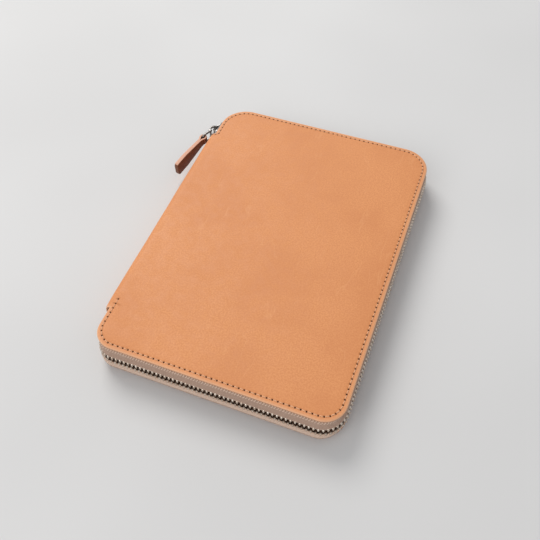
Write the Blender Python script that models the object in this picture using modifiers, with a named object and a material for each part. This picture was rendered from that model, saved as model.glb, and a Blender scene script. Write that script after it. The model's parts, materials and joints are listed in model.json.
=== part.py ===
"""Zip-around fountain pen case of natural leather, closed and lying on its back cover.

X runs across the covers with the spine at -X, Y runs along the spine, and Z is up.
The origin is the middle of the back cover's outer face, which is where the case rests.
Dimensions are in millimetres and are turned into metres by MM.
"""
import math

import bmesh
import bpy
from mathutils import Matrix, Vector

MM = 0.001

# Driving dimensions
CASE_WIDTH = 150.0          # outside of the spine to the cut edge opposite
CASE_LENGTH = 205.0
CASE_THICKNESS = 22.0
LEATHER = 1.5               # outer leather
BOARD = 0.6                 # stiffener, and the zip tape that shares its layer
LINING = 0.6
GAP = 0.3                   # air between two pieces that touch on the real case
BOTTOM_CORNER_RADIUS = 13.0
TOP_CORNER_RADIUS = 18.0
SPINE_STEP = 3.0            # the corner ends' cut edge lies this far inside the spine
NOTCH_TOP = 28.5            # from the top edge down to where the spine leather starts
NOTCH_BOTTOM = 24.0
ARC_SEGMENTS = 7
SHARP_ANGLE = math.radians(30.0)    # a steeper edge stays sharp in round pieces
BEVEL_ANGLE = math.radians(50.0)
RIM_BEVEL = 0.4             # rounding of the outer leather's edges
BOARD_INSET = 6.0
BOARD_LEFT_INSET = 9.0
LINING_INSET = 1.5
LINING_LEFT_INSET = 4.5
LEAST_RADIUS = 2.0
SPINE_LINING_STEP = 0.8     # the spine lining's long edges stop this far from the linings

# Zip
TOOTH_PITCH = 2.54
TOOTH_ROW_WIDTH = 2.5       # through the tape
TOOTH_ROW_GAP = 1.4         # between the tips of the two rows, where the slider's web runs
TOOTH_HEIGHT = 1.5
TOOTH_ROOT = 1.2            # solid part of the row behind the teeth
TEETH_OUT = 1.0             # middle of the rows, outside the leather's cut edge
TAPE_TUCK = 4.5             # tape held under the leather
TAPE_START = 0.4            # from the notch to where the tape shows
TEETH_START = 2.3           # from the notch to the first tooth, past the stop
CORNER_STUB = 0.7           # straight end of the corner pieces, before the main stretch
TAPE_BEND = ((-1.2, 0.0), (0.2, 0.0), (0.85, 0.35), (1.25, 1.1), (1.35, 2.4))   # out, down
TAPE_END_LENGTH = 14.0      # held inside the spine
TAPE_END_MARGIN = 0.2
STOP_LENGTH = 1.6
STOP_FROM_NOTCH = 0.4
STOP_MARGIN = 0.1
STOP_BEVEL = 0.25
SLIDER_LENGTH = 11.0
SLIDER_WIDTH = 10.0
SLIDER_PLATE = 1.2
SLIDER_Y = 85.5
INNER_PLATE_CLEARANCE = 1.9     # room for the corner's curve inside the straight plate
WEB_FROM_Y = -4.5               # the web between the plates, from the slider's middle
WEB_TO_Y = -1.5
JOIN_DEPTH = 0.4                # how far joined bodies run into each other before the union

# Pull
PIVOT_AHEAD = 1.5           # pull pivot, from the slider's middle
LINK_PITCH = 13.0           # slider pivot to tab pivot
LINK_BAR = 1.6
LINK_THICKNESS = 1.4
LINK_WIDTH = 8.0
LINK_CORNER = 1.6
LINK_INNER_CORNER = 0.5
LINK_ANGLE = math.radians(24.0)     # outwards from the spine's direction
TAB_ANGLE = math.radians(8.5)
TAB_LENGTH = 34.0
TAB_WIDTH = 10.0
TAB_THICKNESS = 3.4
TAB_TIP_CORNER = 1.5
TAB_SHOULDER_CORNER = 1.2
TAB_NECK_WALL = 1.9         # leather of the fold past the link's bar
BRIDGE_HOLE_RADIUS = 1.4
BRIDGE_WALL = 0.9
BRIDGE_WIDTH = 3.6
FOLD_MARGIN = 0.04          # the broad part of the tab is this much thicker than its fold
BRIDGE_STAND = 0.495        # from the slider's face to the bridge's hole
BRIDGE_FOOT_HALF = 4.0
BRIDGE_SHOULDER = 2.2
HOLE_SIDES = 16

# Inside
SLEEVE_COUNT = 5
SLEEVE_PITCH = 25.5
SLEEVE_HEIGHT = 12.0
SLEEVE_HALF_WIDTH = 9.8
SLEEVE_FLANGE = 2.2
SLEEVE_WALL = 0.9
SLEEVE_BOTTOM_Y = -92.0
SLEEVE_TOP_Y = 38.0
SLEEVE_ARC_STEPS = 14
FLAP_THICKNESS = 0.8
FLAP_HALF_LENGTH = 68.0
FLAP_RIGHT_MARGIN = 9.0
FLAP_CORNER = 10.0
POCKET_THICKNESS = 0.8
POCKET_LEFT_MARGIN = 10.0
POCKET_RIGHT_MARGIN = 5.0
POCKET_BOTTOM_MARGIN = 6.0
POCKET_MOUTH_Y = 20.0
POCKET_SCOOP = 12.0
POCKET_SCOOP_START = 35.0   # from each side to where the mouth starts to dip
POCKET_SCOOP_END = 47.0
POCKET_CORNER = 8.0
POCKET_MOUTH_RADIUS = 10.0

# Places worked out from those
LEFT = -CASE_WIDTH / 2
RIGHT = CASE_WIDTH / 2
TOP = CASE_LENGTH / 2
BOTTOM = -CASE_LENGTH / 2
CUT_LEFT = LEFT + SPINE_STEP
NOTCH_TOP_Y = TOP - NOTCH_TOP
NOTCH_BOTTOM_Y = BOTTOM + NOTCH_BOTTOM
MID_Z = CASE_THICKNESS / 2
BOARD_Z = LEATHER + GAP                 # low face of the back board
LINING_Z = BOARD_Z + BOARD + GAP        # low face of the back lining
FLOOR_Z = LINING_Z + LINING             # inside face of the back lining
SPINE_INNER = LEFT + LEATHER
ZIP_END_X = SPINE_INNER + GAP
SPINE_LINING_X = ZIP_END_X + BOARD + GAP
LINING_LEFT = LEFT + LINING_LEFT_INSET
ROW_X = CUT_LEFT - TEETH_OUT            # middle of the tooth rows on the spine side
TIP_OFFSET = TOOTH_ROW_GAP / 2
ROW_OUTER_OFFSET = TIP_OFFSET + TOOTH_HEIGHT + TOOTH_ROOT
TAPE_END_OFFSET = ROW_OUTER_OFFSET + GAP
SLIDER_FACE_X = ROW_X - TOOTH_ROW_WIDTH / 2 - GAP - SLIDER_PLATE
PIVOT_X = SLIDER_FACE_X - BRIDGE_STAND - BRIDGE_HOLE_RADIUS
PIVOT_Y = SLIDER_Y + PIVOT_AHEAD

NATURAL_LEATHER = (0.76, 0.42, 0.22)
LINING_LEATHER = (0.62, 0.38, 0.22)
TAPE_CLOTH = (0.40, 0.28, 0.21)
NICKEL = (0.72, 0.68, 0.65)
CARD = (0.55, 0.50, 0.42)


def clear_scene():
    for item in list(bpy.data.objects):
        bpy.data.objects.remove(item, do_unlink=True)


def make_collection(name):
    collection = bpy.data.collections.new(name)
    bpy.context.scene.collection.children.link(collection)
    return collection


def make_material(name, colour, roughness, metallic=0.0):
    material = bpy.data.materials.new(name)
    material.use_nodes = True
    shader = material.node_tree.nodes["Principled BSDF"]
    shader.inputs["Base Color"].default_value = (*colour, 1.0)
    shader.inputs["Roughness"].default_value = roughness
    shader.inputs["Metallic"].default_value = metallic
    material.diffuse_color = (*colour, 1.0)
    return material


def leather_material(name):
    return make_material(name + "_leather", NATURAL_LEATHER, 0.6)


def lining_material(name):
    return make_material(name + "_lining", LINING_LEATHER, 0.75)


def cloth_material(name):
    return make_material(name + "_cloth", TAPE_CLOTH, 0.9)


def metal_material(name):
    return make_material(name + "_nickel", NICKEL, 0.3, 1.0)


def card_material(name):
    return make_material(name + "_card", CARD, 0.9)


def fillet(corner, before, after, radius, segments=ARC_SEGMENTS):
    """Points of the round that replaces a corner between two straight edges."""
    corner, before, after = Vector(corner), Vector(before), Vector(after)
    if radius <= 0:
        return [tuple(corner)]
    to_before = (before - corner).normalized()
    to_after = (after - corner).normalized()
    half_angle = to_before.angle(to_after) / 2
    centre = corner + (to_before + to_after).normalized() * radius / math.sin(half_angle)
    start = corner + to_before * radius / math.tan(half_angle) - centre
    turn = math.pi - 2 * half_angle
    if start.x * to_before.y - start.y * to_before.x > 0:
        turn = -turn
    points = []
    for step in range(segments + 1):
        angle = turn * step / segments
        cosine, sine = math.cos(angle), math.sin(angle)
        points.append((centre.x + start.x * cosine - start.y * sine,
                       centre.y + start.x * sine + start.y * cosine))
    return points


def rounded_outline(corners, segments=ARC_SEGMENTS):
    """Closed outline through (x, y, radius) corners."""
    points = []
    for index, (x, y, radius) in enumerate(corners):
        before = corners[index - 1][:2]
        after = corners[(index + 1) % len(corners)][:2]
        points.extend(fillet((x, y), before, after, radius, segments))
    return points


def poly_spline(curve, points, closed=True):
    spline = curve.splines.new("POLY")
    spline.points.add(len(points) - 1)
    for point, (x, y) in zip(spline.points, points):
        point.co = (x * MM, y * MM, 0.0, 1.0)
    spline.use_cyclic_u = closed
    return spline


def curve_to_mesh(curve_object):
    """Replace a curve by a mesh whose caps are welded on."""
    scene_collection = bpy.context.scene.collection
    scene_collection.objects.link(curve_object)
    graph = bpy.context.evaluated_depsgraph_get()
    mesh = bpy.data.meshes.new_from_object(curve_object.evaluated_get(graph))
    matrix = curve_object.matrix_world.copy()
    bpy.data.objects.remove(curve_object, do_unlink=True)
    edit = bmesh.new()
    edit.from_mesh(mesh)
    bmesh.ops.remove_doubles(edit, verts=edit.verts, dist=0.001 * MM)
    bmesh.ops.recalc_face_normals(edit, faces=edit.faces)
    edit.to_mesh(mesh)
    edit.free()
    mesh.materials.clear()
    return mesh, matrix


def finish_object(name, mesh, matrix, material, collection, bevel=0.0):
    item = bpy.data.objects.new(name, mesh)
    item.matrix_world = matrix
    mesh.name = name
    mesh.materials.append(material)
    mesh.shade_smooth()
    mesh.set_sharp_from_angle(angle=SHARP_ANGLE)
    collection.objects.link(item)
    if bevel:
        modifier = item.modifiers.new("rim", "BEVEL")
        modifier.width = bevel * MM
        modifier.segments = 2
        modifier.limit_method = "ANGLE"
        modifier.angle_limit = BEVEL_ANGLE
    return item


def flat_piece(name, outlines, thickness, matrix, material, collection, bevel=0.0):
    """A sheet cut to an outline (with any holes after it), centred on its own plane."""
    curve = bpy.data.curves.new(name, "CURVE")
    curve.dimensions = "2D"
    curve.fill_mode = "BOTH"
    curve.extrude = thickness / 2 * MM
    for outline in outlines:
        poly_spline(curve, outline)
    holder = bpy.data.objects.new(name + "_outline", curve)
    mesh, _ = curve_to_mesh(holder)
    return finish_object(name, mesh, matrix, material, collection, bevel)


def level_sheet(name, outline, low_z, thickness, material, collection, bevel=0.0):
    matrix = Matrix.Translation((0, 0, (low_z + thickness / 2) * MM))
    return flat_piece(name, [outline], thickness, matrix, material, collection, bevel)


def box_piece(name, low, high, material, collection, bevel=0.0):
    edit = bmesh.new()
    size = [(b - a) * MM for a, b in zip(low, high)]
    bmesh.ops.create_cube(edit, size=1.0, matrix=Matrix.Diagonal((*size, 1.0)))
    mesh = bpy.data.meshes.new(name)
    edit.to_mesh(mesh)
    edit.free()
    middle = [(a + b) / 2 * MM for a, b in zip(low, high)]
    return finish_object(name, mesh, Matrix.Translation(middle), material, collection, bevel)


def mirrored_z(low_z, thickness):
    """Low face of the front half's copy of a layer of the back half."""
    return CASE_THICKNESS - low_z - thickness


def cover_outline():
    """Outer leather: the corner ends are cut back from the spine, the middle wraps it."""
    return rounded_outline([
        (CUT_LEFT, BOTTOM, BOTTOM_CORNER_RADIUS),
        (RIGHT, BOTTOM, BOTTOM_CORNER_RADIUS),
        (RIGHT, TOP, TOP_CORNER_RADIUS),
        (CUT_LEFT, TOP, TOP_CORNER_RADIUS),
        (CUT_LEFT, NOTCH_TOP_Y, 0),
        (LEFT, NOTCH_TOP_Y, 0),
        (LEFT, NOTCH_BOTTOM_Y, 0),
        (CUT_LEFT, NOTCH_BOTTOM_Y, 0)])


def inset_outline(left, inset):
    """Lining or board: the cover's outline drawn in, with a straight left side."""
    top_radius = max(TOP_CORNER_RADIUS - inset, LEAST_RADIUS)
    bottom_radius = max(BOTTOM_CORNER_RADIUS - inset, LEAST_RADIUS)
    return rounded_outline([
        (left, BOTTOM + inset, bottom_radius),
        (RIGHT - inset, BOTTOM + inset, bottom_radius),
        (RIGHT - inset, TOP - inset, top_radius),
        (left, TOP - inset, top_radius)])


def zip_path(offset, part):
    """Points of the zip's line, offset outwards from the covers' cut edge.

    The main stretch is the top, right and bottom. The head and the tail are the two
    corners by the spine, with the short straight ends that run to the notches.
    """
    left, right = CUT_LEFT - offset, RIGHT + offset
    top, bottom = TOP + offset, BOTTOM - offset
    top_radius = TOP_CORNER_RADIUS + offset
    bottom_radius = BOTTOM_CORNER_RADIUS + offset
    head_x = CUT_LEFT + TOP_CORNER_RADIUS
    tail_x = CUT_LEFT + BOTTOM_CORNER_RADIUS
    start = TEETH_START if offset > 0 else TAPE_START
    if part == "main":
        points = [(head_x + CORNER_STUB + GAP, top)]
        points += fillet((right, top), (left, top), (right, bottom), top_radius)
        points += fillet((right, bottom), (right, top), (left, bottom), bottom_radius)
        points += [(tail_x + CORNER_STUB + GAP, bottom)]
        return points
    if part == "head":
        points = [(left, NOTCH_TOP_Y + start)]
        points += fillet((left, top), (left, bottom), (right, top), top_radius)
        points += [(head_x + CORNER_STUB, top)]
        return points
    points = [(tail_x + CORNER_STUB, bottom)]
    points += fillet((left, bottom), (right, bottom), (left, top), bottom_radius)
    points += [(left, NOTCH_BOTTOM_Y - start)]
    return points


def tape_section(side):
    """Closed section of the tape in (outward, up), for the upper (1) or lower (-1) half."""
    layer = MID_Z - BOARD_Z - BOARD / 2
    half = BOARD / 2
    middle = [(-TAPE_TUCK, layer)]
    middle += [(out, layer - down) for out, down in TAPE_BEND]
    middle += [(TEETH_OUT, TAPE_END_OFFSET)]
    outer, inner = [], []
    for index, point in enumerate(middle):
        before = Vector(middle[max(index - 1, 0)])
        after = Vector(middle[min(index + 1, len(middle) - 1)])
        along = (after - before).normalized()
        across = Vector((-along.y, along.x)) * half
        outer.append(Vector(point) + across)
        inner.append(Vector(point) - across)
    section = outer + inner[::-1]
    return [(point.x, MID_Z + side * point.y) for point in section]


def sweep(name, stations, material, collection):
    """Closed solid through a list of rings that have the same number of points."""
    edit = bmesh.new()
    rings = []
    for ring in stations:
        rings.append([edit.verts.new([value * MM for value in point]) for point in ring])
    count = len(rings[0])
    for first, second in zip(rings, rings[1:]):
        for index in range(count):
            following = (index + 1) % count
            edit.faces.new((first[index], first[following], second[following], second[index]))
    edit.faces.new(rings[0])
    edit.faces.new(rings[-1][::-1])
    bmesh.ops.recalc_face_normals(edit, faces=edit.faces)
    mesh = bpy.data.meshes.new(name)
    edit.to_mesh(mesh)
    edit.free()
    return finish_object(name, mesh, Matrix.Identity(4), material, collection)


def outward_normals(path):
    """Unit outward normal at each point of an open clockwise or anticlockwise path."""
    normals = []
    for index in range(len(path)):
        before = Vector(path[max(index - 1, 0)])
        after = Vector(path[min(index + 1, len(path) - 1)])
        along = (after - before).normalized()
        normals.append(Vector((-along.y, along.x)))
    return normals


def zip_tape(name, part, side, material, collection):
    """The tape's section carried along the cut edge; every path here runs clockwise."""
    path = zip_path(0.0, part)
    section = tape_section(side)
    stations = []
    for point, normal in zip(path, outward_normals(path)):
        stations.append([(point[0] + normal.x * out, point[1] + normal.y * out, up)
                         for out, up in section])
    return sweep(name, stations, material, collection)


def resample(path, spacing):
    """Even steps along a path, as (x, y) points that keep both ends."""
    lengths = [0.0]
    for first, second in zip(path, path[1:]):
        lengths.append(lengths[-1] + math.dist(first, second))
    steps = max(2, round(lengths[-1] / spacing))
    points = []
    segment = 0
    for step in range(steps + 1):
        target = lengths[-1] * step / steps
        while segment < len(path) - 2 and lengths[segment + 1] < target:
            segment += 1
        share = (target - lengths[segment]) / (lengths[segment + 1] - lengths[segment])
        share = min(max(share, 0.0), 1.0)
        points.append(tuple(Vector(path[segment]).lerp(Vector(path[segment + 1]), share)))
    return points


def tooth_row(name, part, side, material, collection):
    """One half of the zip's teeth: a solid root with a tooth crest at every pitch."""
    path = resample(zip_path(TEETH_OUT, part), TOOTH_PITCH / 2)
    half = TOOTH_ROW_WIDTH / 2
    root = MID_Z + side * ROW_OUTER_OFFSET
    stations = []
    for index, (point, normal) in enumerate(zip(path, outward_normals(path))):
        crest = (index + (side > 0)) % 2 == 0
        tip = MID_Z + side * (TIP_OFFSET + (0.0 if crest else TOOTH_HEIGHT))
        outer = Vector(point) + normal * half
        inner = Vector(point) - normal * half
        stations.append([(*outer, root), (*inner, root), (*inner, tip), (*outer, tip)])
    return sweep(name, stations, material, collection)


def make_zip(collection):
    for half, side in (("lower", -1), ("upper", 1)):
        for part, ending in (("main", ""), ("head", "_head"), ("tail", "_tail")):
            tape = half + "_tape" + ending
            zip_tape(tape, part, side, cloth_material(tape), collection)
            teeth = half + "_teeth" + ending
            tooth_row(teeth, part, side, metal_material(teeth), collection)


def make_cover(half, leather_z, board_z, lining_z, collection):
    """Leather, board and lining of the back or the front cover."""
    level_sheet(half + "_leather", cover_outline(), leather_z, LEATHER,
                leather_material(half), collection, bevel=RIM_BEVEL)
    level_sheet(half + "_board", inset_outline(LEFT + BOARD_LEFT_INSET, BOARD_INSET),
                board_z, BOARD, card_material(half), collection)
    level_sheet(half + "_lining", inset_outline(LINING_LEFT, LINING_INSET), lining_z,
                LINING, lining_material(half), collection)


def make_spine(collection):
    """Spine leather and lining, with the ends of the zip held between them."""
    fold_gap = LEATHER + GAP
    box_piece("spine_leather", (LEFT, NOTCH_BOTTOM_Y + GAP, fold_gap),
              (SPINE_INNER, NOTCH_TOP_Y - GAP, CASE_THICKNESS - fold_gap),
              leather_material("spine"), collection, bevel=RIM_BEVEL)
    lining_low = FLOOR_Z + SPINE_LINING_STEP
    box_piece("spine_lining", (SPINE_LINING_X, NOTCH_BOTTOM_Y + GAP, lining_low),
              (SPINE_LINING_X + LINING, NOTCH_TOP_Y - GAP, CASE_THICKNESS - lining_low),
              lining_material("spine"), collection)


def make_zip_ends(collection):
    """Tape ends inside the spine, the two top stops and the bottom stop."""
    tape_half = ROW_OUTER_OFFSET - TAPE_END_MARGIN
    for name, low_y in (("zip_end_top", NOTCH_TOP_Y - TAPE_END_LENGTH - GAP),
                        ("zip_end_bottom", NOTCH_BOTTOM_Y + GAP)):
        box_piece(name, (ZIP_END_X, low_y, MID_Z - tape_half),
                  (ZIP_END_X + BOARD, low_y + TAPE_END_LENGTH, MID_Z + tape_half),
                  cloth_material(name), collection)
    half = TOOTH_ROW_WIDTH / 2 - STOP_MARGIN
    low_y = NOTCH_TOP_Y + STOP_FROM_NOTCH
    for name, low_z in (("top_stop_upper", MID_Z + TIP_OFFSET),
                        ("top_stop_lower", MID_Z - ROW_OUTER_OFFSET)):
        box_piece(name, (ROW_X - half, low_y, low_z),
                  (ROW_X + half, low_y + STOP_LENGTH, low_z + TOOTH_HEIGHT + TOOTH_ROOT),
                  metal_material(name), collection, bevel=STOP_BEVEL)
    high_y = NOTCH_BOTTOM_Y - STOP_FROM_NOTCH
    box_piece("bottom_stop", (ROW_X - half, high_y - STOP_LENGTH, MID_Z - ROW_OUTER_OFFSET),
              (ROW_X + half, high_y, MID_Z + ROW_OUTER_OFFSET),
              metal_material("bottom_stop"), collection, bevel=STOP_BEVEL)


def sleeve_section():
    """Arch of a pen sleeve in (across, up), with the flange sewn down on each side."""
    steps = SLEEVE_ARC_STEPS
    foot = SLEEVE_HALF_WIDTH + SLEEVE_FLANGE
    inner_half = SLEEVE_HALF_WIDTH - SLEEVE_WALL
    inner_height = SLEEVE_HEIGHT - SLEEVE_WALL
    lift = math.asin(SLEEVE_WALL / SLEEVE_HEIGHT)
    points = [(foot, 0.0), (foot, SLEEVE_WALL)]
    for step in range(steps + 1):
        angle = lift + (math.pi - 2 * lift) * step / steps
        points.append((SLEEVE_HALF_WIDTH * math.cos(angle), SLEEVE_HEIGHT * math.sin(angle)))
    points += [(-foot, SLEEVE_WALL), (-foot, 0.0)]
    for step in range(steps + 1):
        angle = math.pi * (1 - step / steps)
        points.append((inner_half * math.cos(angle), inner_height * math.sin(angle)))
    return points


def make_sleeves(collection):
    length = SLEEVE_TOP_Y - SLEEVE_BOTTOM_Y
    middle_x = (LINING_LEFT + RIGHT - LINING_INSET) / 2
    turned = Matrix.Rotation(math.pi / 2, 4, "X")
    for index in range(SLEEVE_COUNT):
        name = f"pen_sleeve_{index + 1}"
        x = middle_x + (index - (SLEEVE_COUNT - 1) / 2) * SLEEVE_PITCH
        place = Matrix.Translation((x * MM, (SLEEVE_BOTTOM_Y + length / 2) * MM,
                                    (FLOOR_Z + GAP) * MM))
        flat_piece(name, [sleeve_section()], length, place @ turned,
                   leather_material(name), collection)


def make_flap(collection):
    """Leather flap over the pens, hinged along the spine's lining."""
    low_z = FLOOR_Z + GAP + SLEEVE_HEIGHT + GAP
    left = SPINE_LINING_X + LINING + 2 * GAP
    hinge = Vector((left, 0.0, low_z + FLAP_THICKNESS / 2))
    width = RIGHT - FLAP_RIGHT_MARGIN - left
    outline = rounded_outline([
        (0.0, -FLAP_HALF_LENGTH, 0), (width, -FLAP_HALF_LENGTH, FLAP_CORNER),
        (width, FLAP_HALF_LENGTH, FLAP_CORNER), (0.0, FLAP_HALF_LENGTH, 0)])
    flat_piece("divider_flap", [outline], FLAP_THICKNESS, Matrix.Translation(hinge * MM),
               lining_material("flap"), collection)


def make_pocket(collection):
    """Slip pocket, sewn flat inside the front cover, with a scooped mouth."""
    low_z = CASE_THICKNESS - FLOOR_Z - GAP - POCKET_THICKNESS
    left, right = LEFT + POCKET_LEFT_MARGIN, RIGHT - POCKET_RIGHT_MARGIN
    bottom, mouth, dip = BOTTOM + POCKET_BOTTOM_MARGIN, POCKET_MOUTH_Y, POCKET_SCOOP
    outline = rounded_outline([
        (left, bottom, POCKET_CORNER), (right, bottom, POCKET_CORNER), (right, mouth, 0),
        (right - POCKET_SCOOP_START, mouth, POCKET_MOUTH_RADIUS),
        (right - POCKET_SCOOP_END, mouth - dip, POCKET_MOUTH_RADIUS),
        (left + POCKET_SCOOP_END, mouth - dip, POCKET_MOUTH_RADIUS),
        (left + POCKET_SCOOP_START, mouth, POCKET_MOUTH_RADIUS),
        (left, mouth, 0)])
    level_sheet("front_pocket", outline, low_z, POCKET_THICKNESS,
                leather_material("pocket"), collection)


def union(target, pieces):
    """Join solids into one body with exact Booleans and remove the joined ones."""
    for piece in pieces:
        modifier = target.modifiers.new("join", "BOOLEAN")
        modifier.operation = "UNION"
        modifier.solver = "EXACT"
        modifier.object = piece
        graph = bpy.context.evaluated_depsgraph_get()
        mesh = bpy.data.meshes.new_from_object(target.evaluated_get(graph))
        target.modifiers.clear()
        target.data = mesh
        bpy.data.objects.remove(piece, do_unlink=True)
    target.data.name = target.name


def round_hole(radius):
    """Points of a round hole, in (x, y) about its own centre."""
    turns = [2 * math.pi * step / HOLE_SIDES for step in range(HOLE_SIDES)]
    return [(radius * math.cos(turn), radius * math.sin(turn)) for turn in turns]


def slider_bridge(material, collection):
    """Arch over the slider's face that holds the pull, with a hole along Z."""
    crown = -BRIDGE_HOLE_RADIUS - BRIDGE_WALL
    foot_x = SLIDER_FACE_X + JOIN_DEPTH - PIVOT_X
    half = BRIDGE_FOOT_HALF
    arch = fillet((crown, half), (foot_x, half), (crown, -half), BRIDGE_SHOULDER)
    arch += fillet((crown, -half), (crown, half), (foot_x, -half), BRIDGE_SHOULDER)
    arch += [(foot_x, -half), (foot_x, half)]
    place = Matrix.Translation(Vector((PIVOT_X, PIVOT_Y, MID_Z)) * MM)
    return flat_piece("slider_bridge", [arch, round_hole(BRIDGE_HOLE_RADIUS)], BRIDGE_WIDTH,
                      place, material, collection)


def make_slider(collection, cutters):
    """Slider at the start of the top corner: two plates, the web and the pull's bridge."""
    material = metal_material("slider")
    low_y, high_y = SLIDER_Y - SLIDER_LENGTH / 2, SLIDER_Y + SLIDER_LENGTH / 2
    low_z, high_z = MID_Z - SLIDER_WIDTH / 2, MID_Z + SLIDER_WIDTH / 2
    inner_face = ROW_X + TOOTH_ROW_WIDTH / 2 + INNER_PLATE_CLEARANCE
    web_half = TIP_OFFSET - GAP
    body = box_piece("slider_body", (SLIDER_FACE_X, low_y, low_z),
                     (SLIDER_FACE_X + SLIDER_PLATE, high_y, high_z), material, collection)
    inner = box_piece("slider_inner", (inner_face, low_y, low_z),
                      (inner_face + SLIDER_PLATE, high_y, high_z), material, cutters)
    web = box_piece("slider_web",
                    (SLIDER_FACE_X + JOIN_DEPTH, SLIDER_Y + WEB_FROM_Y, MID_Z - web_half),
                    (inner_face + JOIN_DEPTH, SLIDER_Y + WEB_TO_Y, MID_Z + web_half),
                    material, cutters)
    union(body, [inner, web, slider_bridge(material, cutters)])


def pull_direction(angle):
    """Unit vector pointing down the spine and turned outwards by an angle."""
    return Vector((-math.sin(angle), -math.cos(angle), 0.0))


def upright_frame(origin, direction):
    """Matrix with local X along a level direction, local Y up and local Z across."""
    up = Vector((0.0, 0.0, 1.0))
    across = direction.cross(up)
    frame = Matrix((direction, up, across)).transposed().to_4x4()
    return Matrix.Translation(origin * MM) @ frame


def make_link(collection):
    """Metal ring that joins the slider's bridge to the leather tab."""
    pivot = Vector((PIVOT_X, PIVOT_Y, MID_Z))
    end, half = LINK_BAR / 2, LINK_WIDTH / 2
    corners = [(-end, -half), (LINK_PITCH + end, -half), (LINK_PITCH + end, half),
               (-end, half)]
    ring = rounded_outline([(x, y, LINK_CORNER) for x, y in corners], 4)
    half -= LINK_BAR
    corners = [(end, -half), (LINK_PITCH - end, -half), (LINK_PITCH - end, half),
               (end, half)]
    inside = rounded_outline([(x, y, LINK_INNER_CORNER) for x, y in corners], 2)
    flat_piece("pull_link", [ring, inside], LINK_THICKNESS,
               upright_frame(pivot, pull_direction(LINK_ANGLE)),
               metal_material("link"), collection)


def tab_fold(pivot, direction, neck_length, collection):
    """The narrow end of the tab, which goes round the link's bar."""
    half = TAB_THICKNESS / 2
    hole_radius = math.hypot(LINK_BAR, LINK_THICKNESS) / 2 + GAP
    nose_steps = 8
    nose = []
    for step in range(nose_steps + 1):
        angle = math.pi / 2 + math.pi * step / nose_steps
        nose.append((half * math.cos(angle), half * math.sin(angle)))
    nose += [(neck_length, -half), (neck_length, half)]
    across = direction.cross(Vector((0, 0, 1))) * -1
    lie = Matrix((direction, across, Vector((0, 0, 1)))).transposed().to_4x4()
    fold_width = LINK_WIDTH - 2 * LINK_BAR - 2 * GAP
    return flat_piece("tab_fold", [nose, round_hole(hole_radius)], fold_width,
                      Matrix.Translation(pivot * MM) @ lie, leather_material("fold"),
                      collection)


def make_tab(collection, cutters):
    """Leather tab folded round the link's far bar, standing on edge."""
    pivot = Vector((PIVOT_X, PIVOT_Y, MID_Z)) + pull_direction(LINK_ANGLE) * LINK_PITCH
    direction = pull_direction(TAB_ANGLE)
    neck_length = LINK_BAR / 2 + TAB_NECK_WALL
    start, half_width = neck_length - 2 * JOIN_DEPTH, TAB_WIDTH / 2
    broad = rounded_outline([(start, -half_width, TAB_SHOULDER_CORNER),
                             (TAB_LENGTH, -half_width, TAB_TIP_CORNER),
                             (TAB_LENGTH, half_width, TAB_TIP_CORNER),
                             (start, half_width, TAB_SHOULDER_CORNER)], 4)
    tab = flat_piece("pull_tab", [broad], TAB_THICKNESS + FOLD_MARGIN,
                     upright_frame(pivot, direction), leather_material("tab"), collection)
    union(tab, [tab_fold(pivot, direction, neck_length, cutters)])


def hold_on_axis(name, place, pieces, collection):
    """Parent pieces, where they are, to an empty on the axis that they turn about."""
    empty = bpy.data.objects.new(name, None)
    empty.location = Vector(place) * MM
    collection.objects.link(empty)
    bpy.context.view_layer.update()
    for piece in pieces:
        item = bpy.data.objects[piece]
        item.parent = empty
        item.matrix_parent_inverse = empty.matrix_world.inverted()


def make_axes(collection):
    """Empties on the two folds of the spine and at the centre of the slider's travel."""
    zip_ends = ["zip_end_top", "zip_end_bottom", "top_stop_upper", "top_stop_lower",
                "bottom_stop"]
    hold_on_axis("spine_fold_axis", (LEFT, 0.0, 0.0),
                 ["spine_leather", "spine_lining"] + zip_ends, collection)
    front = ["front_leather", "front_board", "front_lining", "front_pocket"]
    front += [f"upper_{kind}{ending}" for kind in ("tape", "teeth")
              for ending in ("", "_head", "_tail")]
    hold_on_axis("front_fold_axis", (LEFT, 0.0, CASE_THICKNESS), front, collection)
    centre = (CUT_LEFT + TOP_CORNER_RADIUS, TOP - TOP_CORNER_RADIUS, MID_Z)
    hold_on_axis("slider_travel_axis", centre, ["slider_body"], collection)


def build():
    clear_scene()
    parts = make_collection("fountain_pen_case")
    cutters = make_collection("cutters")
    make_cover("back", 0.0, BOARD_Z, LINING_Z, parts)
    make_cover("front", CASE_THICKNESS - LEATHER, mirrored_z(BOARD_Z, BOARD),
               mirrored_z(LINING_Z, LINING), parts)
    make_spine(parts)
    make_zip(parts)
    make_zip_ends(parts)
    make_sleeves(parts)
    make_flap(parts)
    make_pocket(parts)
    make_slider(parts, cutters)
    make_link(parts)
    make_tab(parts, cutters)
    make_axes(parts)


build()
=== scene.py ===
import json
import math

import bmesh
import bpy
import numpy as np
from mathutils import Matrix, Vector
from mathutils.geometry import delaunay_2d_cdt
from mathutils.kdtree import KDTree


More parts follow.
